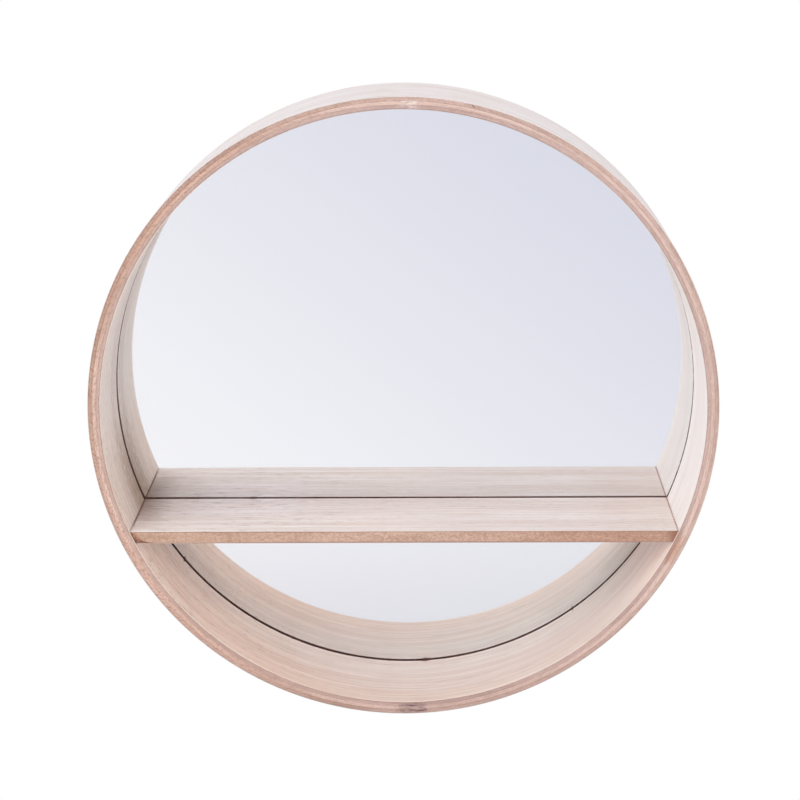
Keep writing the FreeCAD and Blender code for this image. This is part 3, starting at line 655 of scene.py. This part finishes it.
def end_gap(side, y):
    """The gap between the shelf's end and the hoop, at one distance from the mirror."""
    if side > 0:
        return END_GAP + 0.15 * MM * abs(wave(y * 300, 7.0, 0.0))
    nearness = (y - SHELF_FRONT) / (SHELF_BACK - SHELF_FRONT)
    torn = 0.6 + 0.8 * wave(y * 350, 0.0, 0.0) + 0.4 * wave(y * 900, 3.0, 0.0)
    return END_GAP + SHORT_CUT * max(0.0, min(1.0, 1.6 * nearness - 0.35)) * torn


def shelf_point(share, y, z):
    """A point of the shelf, share of the way from its middle to an end at that height."""
    half_span = math.sqrt((INNER_RADIUS - end_gap(share, y)) ** 2 - (AXIS_HEIGHT - z) ** 2)
    return Vector((share * half_span, y, z))


def board_shell(name, shares, depths, heights, place, material, node):
    """A closed board with faces between the stations of each direction, its points set by place."""
    stations = (shares, depths, heights)
    last = [len(values) - 1 for values in stations]
    points, faces, index_of = [], [], {}

    def point(i, j, k):
        if (i, j, k) not in index_of:
            index_of[i, j, k] = len(points)
            points.append(place(shares[i], depths[j], heights[k]))
        return index_of[i, j, k]

    for axis in range(3):
        one, other = (axis + 1) % 3, (axis + 2) % 3
        for end in (0, last[axis]):
            for a in range(last[one]):
                for b in range(last[other]):
                    corners = []
                    for step_a, step_b in ((0, 0), (1, 0), (1, 1), (0, 1)):
                        where = [0, 0, 0]
                        where[axis], where[one], where[other] = end, a + step_a, b + step_b
                        corners.append(point(*where))
                    faces.append(corners if end else corners[::-1])
    mesh = bpy.data.meshes.new(name)
    mesh.from_pydata(points, [], faces)
    mesh.materials.append(material)
    take_over(add_object(name, mesh), node)


def spread(low, high, count):
    """Evenly spaced stations from low to high."""
    return [low + (high - low) * index / count for index in range(count + 1)]


def crowded(low, high, count):
    """Stations from low to high that crowd together towards low."""
    return [low + (high - low) * (index / count) ** 2 for index in range(count + 1)]


def on_core(share, y, z):
    """The core, with its bruised corner pressed in along the left end of its front edge."""
    spot = shelf_point(share, y, z)
    left_end = shelf_point(LEFT, y, z).x
    reach = (0.9 + 1.6 * ((CORE_TOP - z) / (CORE_TOP - CORE_BOTTOM)) ** 3) * MM
    reach *= 1 + 0.6 * wave(0.0, 0.0, z * 900)
    closeness = max(0.0, 1 - ((spot.x - left_end) + (y - SHELF_FRONT)) / reach)
    spot.y += closeness * reach * (0.8 + 0.5 * wave(*(spot * 1500)))
    return spot


def on_veneer(share, y, z):
    """A veneer of the shelf, with its outer front arris sanded off."""
    spot = shelf_point(share, y, z)
    if y == SHELF_FRONT and z == SHELF_TOP:
        spot.z -= SHELF_ARRIS
    if y == SHELF_FRONT and z == SHELF_BOTTOM:
        spot.z += SHELF_ARRIS
    return spot


def end_reach(x, level, side):
    """Distance from one end of the shelf, in metres."""
    return (x - shelf_point(side, SHELF_BACK, level).x) * -side


def shelf_veneer(name, seed, level):
    """Veneer with its grain running along the shelf, singed where the saw cut its ends, and with painted
    light and shade over it.
    """
    material, start = new_material(name)
    x, y, z = point_of(start)
    from_left, from_right = end_reach(x, level, LEFT), end_reach(x, level, RIGHT)
    colour, roughness, relief = pale_wood(start, x, y + z * 0.5, WARM_TONES, dashes=2.6, seed=seed)
    backward = rise_from(y, SHELF_FRONT + 20 * MM, SHELF_BACK)
    on_right = rise_from(x, -20 * MM, 60 * MM)
    far_corner = rise_from(x, 165 * MM, 215 * MM) * (rise_from(y, -115 * MM, -60 * MM) * 0.7 + 0.3)
    on_left = rise_from(x, -80 * MM, -130 * MM) * rise_from(from_left, 35 * MM, 75 * MM)
    # Painted shade and light: darker towards the back, on the right and at its far corner, and lighter at
    # the back of the left half.
    colour = shaded(colour,
                    (backward * (0.7 - on_right * 0.55), tint(236, 234, 235)),
                    (on_right, (0.945, 0.955, 0.97)),
                    (far_corner, (0.96, 0.925, 0.9)),
                    (on_left * rise_from(y, -95 * MM, -60 * MM), (1.08, 1.11, 1.15)))

    leftward = rise_from(x, -40 * MM, -150 * MM)
    dark_share = (backward * 0.2 + 0.12) * (1 - on_right * 0.5) + leftward * 0.34
    colour = broken_grain(colour, crumbs(start, x * 62, (y + z) * 210, seed + 53),
                          dark_share, GRAIN_DARK, leftward * 0.6, GRAIN_LIGHT)
    # Painted shade in the corner above the left end of the shelf.
    in_corner = rise_from(y, -136 * MM, -48 * MM) * 0.8 + rise_from(y, -32 * MM, -16 * MM) * 0.2
    colour = shaded(colour, (rise_from(from_left, 40 * MM, -6 * MM) * in_corner, CORNER_SHADE))

    bite = crumbs(start, x * 500, y * 420, z * 500, roughness=0.65)
    singed = rise_from(from_left + (bite - 0.5) * 2.6 * MM, 1.8 * MM, 0.8 * MM)
    deepness = rise_from(y, SHELF_FRONT, SHELF_FRONT + 40 * MM)
    colour = blend(singed * (deepness * 0.6 + 0.2), colour, SINGED_LEFT)
    singed = rise_from(from_right + (bite - 0.5) * 1.6 * MM, 1.8 * MM, 0.9 * MM)
    colour = blend(singed * rise_from(bite, 0.36, 0.56) * 0.9, colour, SINGED_RIGHT)
    # Painted shade of the gap at the mirror along the back, over the veneer's dark end.
    seam = rise_from(y + (bite - 0.5) * 0.8 * MM, SHELF_BACK - 1.1 * MM, SHELF_BACK - 0.5 * MM)
    colour = blend(seam * (1 - rise_from(x, -215 * MM, -175 * MM) * 0.34), colour, DARK_END_AND_SHADE)
    if level == SHELF_BOTTOM:
        # Painted shade on the front edge of the lower veneer, which faces down.
        under_edge_shade = rise_from(y, SHELF_FRONT + 0.8 * MM, SHELF_FRONT + 0.3 * MM)
        colour = shaded(colour, (under_edge_shade, UNDER_EDGE_SHADE))
    close_material(start, {"Base Color": colour, "Roughness": roughness},
                   relief=relief, relief_depth=0.05 * MM)
    return material


def shelf_board(name):
    """The shelf's raw edge: warm, tan and finely speckled, with torn brown fibre at its ends."""
    material, start = new_material(name)
    x, y, z = point_of(start)
    specks = crumbs(start, x * 820, y * 820, z * 1000)
    grit = cloud(start, x * 260, y * 260, z * 420)
    slow = cloud(start, x * 22, y * 22, z * 130)
    tone = rise_from(specks * 0.54 + grit * 0.24 + slow * 0.22, 0.36, 0.64)
    half_core = (CORE_TOP - CORE_BOTTOM) / 2
    off_middle = abs(z - (CORE_TOP + CORE_BOTTOM) / 2)
    glue = rise_from(off_middle, half_core - 1.1 * MM, half_core - 0.5 * MM)
    drop = (CORE_TOP - z) / (CORE_TOP - CORE_BOTTOM)
    fading = rise_from(x, 40 * MM, 140 * MM) * 0.4 + rise_from(x, -100 * MM, -180 * MM) * drop * 0.55
    colour = blend(glue * (0.72 - fading), blend(tone, *CORE_TONES), CORE_GLUE)

    uneven = crumbs(start, x * 620, y * 500, z * 620, roughness=0.65) - 0.5
    undercut = end_reach(0.0, CORE_TOP, LEFT) - end_reach(0.0, CORE_BOTTOM, LEFT)
    from_left = end_reach(x, CORE_TOP, LEFT) - drop * undercut
    torn = rise_from(from_left + uneven * 6 * MM - drop ** 5 * 13 * MM, 5.2 * MM, 2.6 * MM)
    strands = crumbs(start, x * 900, y * 700, z * 900) - drop * 0.12
    colour = blend(torn * 0.95, colour, blend(rise_from(strands, 0.36, 0.52), *TORN_TONES))
    bruise = rise_from(end_reach(x, CORE_TOP, RIGHT) + uneven * 9 * MM, 13 * MM, 3 * MM)
    colour = blend(bruise * (0.5 + tone * 0.35), colour, BRUISED_END)
    colour = shaded(colour,
                    (rise_from(abs(x), 190 * MM, 60 * MM), (1.05, 1.075, 1.13)),
                    (rise_from(x, 40 * MM, 180 * MM), tint(243, 233, 231)))
    # Painted shade of the gap at the mirror on the board's back end.
    colour = blend(rise_from(y, SHELF_BACK - 0.2 * MM, SHELF_BACK), colour, DARK_END_AND_SHADE)
    close_material(start, {"Base Color": colour, "Roughness": 0.8 - tone * 0.1},
                   relief=specks * 0.6 + grit * 0.4, relief_depth=0.06 * MM)
    return material


core_shares, core_depths = crowded(-1.0, 1.0, count=90), crowded(SHELF_FRONT, SHELF_BACK, count=110)
board_shell("shelf_raw_board", core_shares, core_depths, spread(CORE_BOTTOM, CORE_TOP, count=16), on_core,
            shelf_board("shelf board"), "shelf_core")
veneer_shares = [-1.0] + spread(-0.99, 0.99, count=24) + [1.0]
veneer_depths = [SHELF_FRONT, SHELF_FRONT + SHELF_ARRIS]
veneer_depths += spread(SHELF_FRONT + 1 * MM, SHELF_BACK, count=124)
board_shell("shelf_upper_sheet", veneer_shares, veneer_depths, [CORE_TOP, SHELF_TOP], on_veneer,
            shelf_veneer("shelf veneer above", 47.0, SHELF_TOP), "shelf_top_veneer")
board_shell("shelf_lower_sheet", veneer_shares, veneer_depths, [SHELF_BOTTOM, CORE_BOTTOM], on_veneer,
            shelf_veneer("shelf veneer below", 61.0, SHELF_BOTTOM), "shelf_bottom_veneer")


# The mirror. Float glass with seamed edges lies against the end of the inner bent board; its back
# is silvered and sealed with grey paint. Foam strips hold it to the back board.
GLASS_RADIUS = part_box("mirror_glass")[1].x
CLEAR_GLASS, GROUND_GLASS = (0.993, 0.998, 0.994, 1.0), (0.72, 0.9, 0.84, 1.0)
SILVER, PAINT_TONES = (0.98, 0.975, 0.98, 1.0), (tint(96, 102, 108), tint(112, 118, 122))
FOAM_TONES = tint(205, 205, 200), tint(236, 236, 230)
COAT_OFF_GLASS = 0.02 * MM
SILVER_DEPTH = 0.1 * MM
RIM_STEPS = 360

material, start = new_material("float glass")
x, _, z = point_of(start)
ground = rise_from(hoop_radius(x, z), GLASS_RADIUS - 0.8 * MM, GLASS_RADIUS - 0.3 * MM)
close_material(start, {"Base Color": blend(ground, CLEAR_GLASS, GROUND_GLASS),
                       "Roughness": ground * 0.4, "Transmission Weight": 1.0, "IOR": 1.52})
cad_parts["mirror_glass"].data.materials[0] = material

coat_low, coat_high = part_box("mirror_silvering")
coat_rim = []
for y in (coat_low.y + COAT_OFF_GLASS, coat_high.y):
    for step in range(RIM_STEPS):
        rim_x, rim_z = on_hoop(step * 360 / RIM_STEPS, coat_high.x)
        coat_rim.append((rim_x, y, rim_z))
coat_faces = [list(range(RIM_STEPS - 1, -1, -1)), list(range(RIM_STEPS, 2 * RIM_STEPS))]
for step in range(RIM_STEPS):
    following = (step + 1) % RIM_STEPS
    coat_faces.append([step, following, RIM_STEPS + following, RIM_STEPS + step])
coat = bpy.data.meshes.new("mirror_coat")
coat.from_pydata(coat_rim, [], coat_faces)
material, start = new_material("silver and paint")
x, y, z = point_of(start)
painted = y > coat_low.y + SILVER_DEPTH
flecks = cloud(start, x * 700, y * 700, z * 700)
close_material(start, {"Base Color": blend(painted, SILVER, blend(flecks, *PAINT_TONES)),
                       "Metallic": 1 - painted, "Roughness": painted * 0.5})
coat.materials.append(material)
take_over(add_object("mirror_coat", coat), "mirror_silvering")

material, start = new_material("foam tape")
x, y, z = point_of(start)
cells = cloud(start, x * 2500, y * 2500, z * 2500)
close_material(start, {"Base Color": blend(cells, *FOAM_TONES), "Roughness": 0.9},
               relief=cells, relief_depth=0.1 * MM)
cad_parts["mirror_tape"].data.materials[0] = material


# The back board. A thin disc of brown hardboard, smooth on the side of the mirror and printed with
# the weave of the press screen on the side of the wall.
HARDBOARD_TONES = tint(118, 84, 58), tint(158, 120, 88)
WEAVE_RADIANS_PER_METRE = 3000
material, start = new_material("hardboard")
x, y, z = point_of(start)
screen = start.math("SINE", x * WEAVE_RADIANS_PER_METRE) * start.math("SINE", z * WEAVE_RADIANS_PER_METRE)
fibres = cloud(start, x * 240, y * 240, z * 240, detail=4.0, roughness=0.6)
slow = cloud(start, x * 9, y * 9, z * 9)
tone = rise_from(fibres * 0.6 + slow * 0.3 + screen * 0.05, 0.3, 0.62)
close_material(start, {"Base Color": blend(tone, *HARDBOARD_TONES), "Roughness": 0.72},
               relief=fibres * 0.4 + screen * 0.6, relief_depth=0.12 * MM)
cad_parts["back_board"].data.materials[0] = material


# Retaining points. Flat zinc-plated steel tongues are shot into the hoop behind the back board,
# evenly round it. One end of each stays out and keeps the board and the mirror in their seat.
POINT_LENGTH, POINT_WIDTH, POINT_CORNER, POINT_COUNT = 15 * MM, 6 * MM, 1.6 * MM, 10
CORNER_STEPS = 6
WELD = 0.01 * MM
POINT_SIZES = ("Length", "Width", "Thickness", "Corner", "Reach", "Count", "Back", "Axis Height")


def set_out(points, piece, turn, tilt, place):
    """Copies of a piece on points, each turned about its own axis, then all tilted and placed."""
    copies = piece.add("GeometryNodeInstanceOnPoints", {}, {
        "Points": points, "Instance": piece, "Rotation": vector(piece, z=turn)})
    return piece.add("GeometryNodeTransform", {}, {
        "Geometry": copies, "Rotation": (tilt, 0, 0), "Translation": place})


point_ring, size = size_tree("retaining points", POINT_SIZES)
length = size["Length"]
outline = length.add("GeometryNodeCurvePrimitiveQuadrilateral", {"mode": "RECTANGLE"}, {
    "Width": length, "Height": size["Width"]})
outline = length.add("GeometryNodeFilletCurve", {"mode": "POLY"}, {
    "Curve": outline, "Count": CORNER_STEPS, "Radius": size["Corner"], "Limit Radius": True})
top_face = length.add("GeometryNodeFillCurve", {"mode": "NGONS"}, {"Curve": outline})
risen = length.add("GeometryNodeExtrudeMesh", {"mode": "FACES"}, {
    "Mesh": top_face, "Offset Scale": size["Thickness"]})
under = length.add("GeometryNodeFlipFaces", {}, {"Mesh": top_face})
tongue = length.add("GeometryNodeJoinGeometry", {}, {})
for part in (under, risen):
    length.tree.links.new(part.socket, tongue.socket.node.inputs["Geometry"])
tongue = length.add("GeometryNodeMergeByDistance", {}, {"Geometry": tongue, "Distance": WELD})
ring = length.add("GeometryNodeMeshCircle", {}, {
    "Vertices": size["Count"], "Radius": size["Reach"] - length / 2})
turn = length.add("GeometryNodeInputIndex", {}, {}) * (2 * math.pi) / size["Count"]
points = set_out(ring, tongue, turn, math.pi / 2, vector(length, y=size["Back"], z=size["Axis Height"]))
close_tree(points, size["Material"])


def zinc(name, dark, light, seed):
    """Zinc plating: faint spangle, with a brushed grain under it and dull handling marks."""
    material, start = new_material(name)
    x, y, z = point_of(start)
    spangle = start.add("ShaderNodeTexVoronoi", {}, {
        "Vector": vector(start, x + seed, y, z), "Scale": 900.0})
    brushed = cloud(start, x * 90, y * 90, z * 2600)
    tone = spangle * 0.4 + brushed * 0.6
    handled = rise_from(crumbs(start, x * 160 + seed, y * 160, z * 160), 0.45, 0.7)
    close_material(start, {
        "Base Color": blend(handled * 0.35, blend(tone, dark, light), dark), "Metallic": 1.0,
        "Roughness": 0.26 + brushed * 0.14 + handled * 0.2}, relief=brushed, relief_depth=0.01 * MM)
    return material


ZINC_TONES = tint(160, 164, 170), tint(216, 219, 223)
point_low, point_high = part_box("retaining_points")
grow(point_ring, "retaining_tongues", "retaining_points",
     zinc("zinc-plated points", *ZINC_TONES, seed=3.0), {
         "Length": POINT_LENGTH, "Width": POINT_WIDTH, "Thickness": point_high.y - point_low.y,
         "Corner": POINT_CORNER, "Reach": point_high.x, "Count": POINT_COUNT, "Back": point_high.y,
         "Axis Height": AXIS_HEIGHT})


# Hanging. Two spruce blocks are glued to the back board, each with a steel keyhole plate let down on
# it by two countersunk screws.
ROUND_STEPS, THREAD_STEPS = 24, 96
TIP_GIRTH = 0.1
SCREW_SIZES = ("Head Radius", "Shank Radius", "Length", "Tip", "Pitch", "Thread Depth", "Slot Width",
               "Slot Length", "Slot Depth", "Spacing", "Seed", "Middle", "Height", "Back")
plate_screws, size = size_tree("plate screws", SCREW_SIZES)
length, shank = size["Length"], size["Shank Radius"]
rod = length.add("GeometryNodeMeshCylinder", {"fill_type": "NGON"}, {
    "Vertices": ROUND_STEPS, "Side Segments": THREAD_STEPS, "Radius": 1.0, "Depth": length})
local = length.add("ShaderNodeSeparateXYZ", {}, {
    "Vector": length.add("GeometryNodeInputPosition", {}, {})})
deep = length / 2 - local.twin("Z")
head = length.math("MAXIMUM", size["Head Radius"] - deep, shank)
past_head = rise_from(deep, size["Head Radius"] - shank, size["Head Radius"])
round_share = length.math("ARCTAN2", local.twin("Y"), local.twin("X")) / (2 * math.pi)
winding = length.math("FRACT", deep / size["Pitch"] + round_share)
ridge = abs(winding - 0.5) * 2 * size["Thread Depth"] * past_head
pointed = length.math("MINIMUM", (length - deep) / size["Tip"], 1.0) * (1 - TIP_GIRTH) + TIP_GIRTH
girth = (head - ridge) * pointed
turned = vector(length, local.twin("X") * girth, local.twin("Y") * girth, deep * -1)
rod = length.add("GeometryNodeSetPosition", {}, {"Geometry": rod, "Position": turned})
screw = length.add("GeometryNodeMeshBoolean", {"operation": "DIFFERENCE", "solver": "EXACT"}, {
    "Mesh 1": rod})
for wide, high in (("Slot Length", "Slot Width"), ("Slot Width", "Slot Length")):
    cutter = length.add("GeometryNodeMeshCube", {}, {
        "Size": vector(length, size[wide], size[high], size["Slot Depth"] * 2)})
    length.tree.links.new(cutter.socket, screw.socket.node.inputs["Mesh 2"])
pair = length.add("GeometryNodeMeshLine", {"mode": "END_POINTS", "count_mode": "TOTAL"}, {
    "Count": 2, "Start Location": vector(length, size["Spacing"] * -0.5),
    "Offset": vector(length, size["Spacing"] * 0.5)})
turn = length.add("FunctionNodeRandomValue", {"data_type": "FLOAT"}, {
    2: 0.0, 3: 2 * math.pi, "Seed": size["Seed"]}, 1)
pair = set_out(pair, screw, turn, -math.pi / 2, vector(length, size["Middle"], size["Back"], size["Height"]))
close_tree(pair, size["Material"])

spruce = straight_wood("spruce", tint(196, 160, 116), tint(232, 204, 162), seed=9.0, ring_step=4 * MM)
plate_zinc = zinc("zinc-plated plate", *ZINC_TONES, seed=11.0)
screw_zinc = zinc("zinc-plated screw", tint(150, 140, 112), tint(222, 212, 178), seed=17.0)
for seed, side in enumerate(("left", "right")):
    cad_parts[f"hanging_block_{side}"].data.materials[0] = spruce
    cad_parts[f"hanger_plate_{side}"].data.materials[0] = plate_zinc
    screw_low, screw_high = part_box(f"hanger_screws_{side}")
    head_radius = (screw_high.z - screw_low.z) / 2
    grow(plate_screws, f"plate_screws_{side}", f"hanger_screws_{side}", screw_zinc, {
        "Head Radius": head_radius, "Shank Radius": 1.5 * MM, "Length": screw_high.y - screw_low.y,
        "Tip": 1.5 * MM, "Pitch": 1.1 * MM, "Thread Depth": 0.35 * MM, "Slot Width": 0.55 * MM,
        "Slot Length": 2.8 * MM, "Slot Depth": 0.9 * MM, "Seed": seed,
        "Spacing": screw_high.x - screw_low.x - head_radius * 2, "Middle": (screw_high.x + screw_low.x) / 2,
        "Height": (screw_high.z + screw_low.z) / 2, "Back": screw_high.y})


# The studio. A pale floor lies well below the mirror. The key lamp hangs high on the left, a weaker
# one high in front, and a low fill stands on the right, which the mirror doesn't show. The room that
# it shows is pale, cooler and dimmer to the upper right and at its sides.
FLOOR_HEIGHT, FLOOR_RADIUS, FLOOR_STEP = -1.62, 2.3, 3
FLOOR_TONES = tint(238, 238, 238), tint(244, 244, 244)
floor_mesh = bpy.data.meshes.new("floor")
rim = [(FLOOR_RADIUS * math.cos(math.radians(a)), FLOOR_RADIUS * math.sin(math.radians(a)), FLOOR_HEIGHT)
       for a in range(0, 360, FLOOR_STEP)]
floor_mesh.from_pydata(rim, [], [list(range(len(rim)))])
material, start = new_material("floor")
x, y, z = point_of(start)
grain = cloud(start, x * 40, y * 40, z, detail=3.0)
close_material(start, {"Base Color": blend(grain, *FLOOR_TONES), "Roughness": 0.8})
floor_mesh.materials.append(material)
add_object("floor", floor_mesh)

HOOP_MIDDLE = Vector((0.0, -HOOP_FRONT / 2, AXIS_HEIGHT))
LAMP_WIDTH = 2.0


def lamp(name, place, watts, seen_in_mirror=True):
    """A soft square white lamp that faces the middle of the hoop."""
    data = bpy.data.lights.new(name, "AREA")
    data.shape = "SQUARE"
    data.size = LAMP_WIDTH
    data.energy = watts
    light = add_object(name, data)
    light.location = place
    light.rotation_euler = (HOOP_MIDDLE - Vector(place)).to_track_quat("-Z", "Y").to_euler()
    light.visible_transmission = seen_in_mirror


lamp("key", (-2.4, -1.9, 1.5), watts=25.5)
lamp("front", (-0.4, -3.2, 1.8), watts=14.5)
lamp("low fill", (2.0, -2.4, -0.3), watts=9.0, seen_in_mirror=False)

WHITE = (1.0, 1.0, 1.0, 1.0)
PALE_WALL, DIM_WALL = (0.965, 0.96, 0.987, 1.0), (0.7, 0.709, 0.812, 1.0)
LOW_WALL, SIDE_WALL = (0.733, 0.728, 0.788, 1.0), (0.7, 0.71, 0.76, 1.0)
LIGHT_ALL_ROUND, LIGHT_FROM_RIGHT, LIGHT_FROM_LEFT = 0.63, 0.38, 0.99
world = bpy.data.worlds.new("room")
world.use_nodes = True
world.node_tree.nodes.clear()
start = Wire(world.node_tree)
direction = start.add("ShaderNodeSeparateXYZ", {}, {
    "Vector": start.add("ShaderNodeTexCoord", {}, {}, "Generated")})
rightward, upward = direction.twin("X"), direction.twin("Z")
walls = start.math("MAXIMUM", rightward * LIGHT_FROM_RIGHT, rightward * -LIGHT_FROM_LEFT)
soft_light = start.add("ShaderNodeBackground", {}, {"Color": WHITE, "Strength": walls + LIGHT_ALL_ROUND})
room = blend(rise_from(rightward * 0.75 + upward, -0.41, 0.01), PALE_WALL, DIM_WALL)
room = blend(rise_from(upward, -0.24, -0.31) * 0.75, room, LOW_WALL)
room = blend(rise_from(abs(rightward), 0.25, 0.65), room, SIDE_WALL)
seen = start.add("ShaderNodeLightPath", {}, {}, "Is Camera Ray")
shown = start.add("ShaderNodeBackground", {}, {"Color": blend(seen, room, WHITE), "Strength": 1.0})
direct = start.math("MAXIMUM", seen.math("MAXIMUM", seen, seen.twin("Is Glossy Ray")),
                    seen.twin("Is Transmission Ray"))
sky = start.add("ShaderNodeMixShader", {}, {0: direct, 1: soft_light, 2: shown})
start.add("ShaderNodeOutputWorld", {}, {"Surface": sky})
bpy.context.scene.world = world
bpy.context.scene.view_settings.view_transform = "Standard"
bpy.context.scene.cycles.blur_glossy = 0.0

# The camera stands in front, a little right of the middle and well above it, and looks down. Its
# yaw, pitch and roll are in radians, from straight ahead and level.
CAMERA_PLACE = Vector((35.4 * MM, -2.452, 0.3416))
YAW, PITCH, ROLL = -0.01646, -0.21654, -0.0071
LENS, SENSOR = 112.4, 36.0
forward = Vector((math.sin(YAW) * math.cos(PITCH), math.cos(YAW) * math.cos(PITCH), math.sin(PITCH)))
level_right = Vector((math.cos(YAW), -math.sin(YAW), 0.0))
level_up = level_right.cross(forward)
right = math.cos(ROLL) * level_right + math.sin(ROLL) * level_up
up = -math.sin(ROLL) * level_right + math.cos(ROLL) * level_up
lens = bpy.data.cameras.new("camera")
lens.lens = LENS
lens.sensor_width = SENSOR
camera = add_object("camera", lens)
camera.matrix_world = Matrix.Translation(CAMERA_PLACE) @ Matrix((right, up, -forward)).transposed().to_4x4()
bpy.context.scene.camera = camera
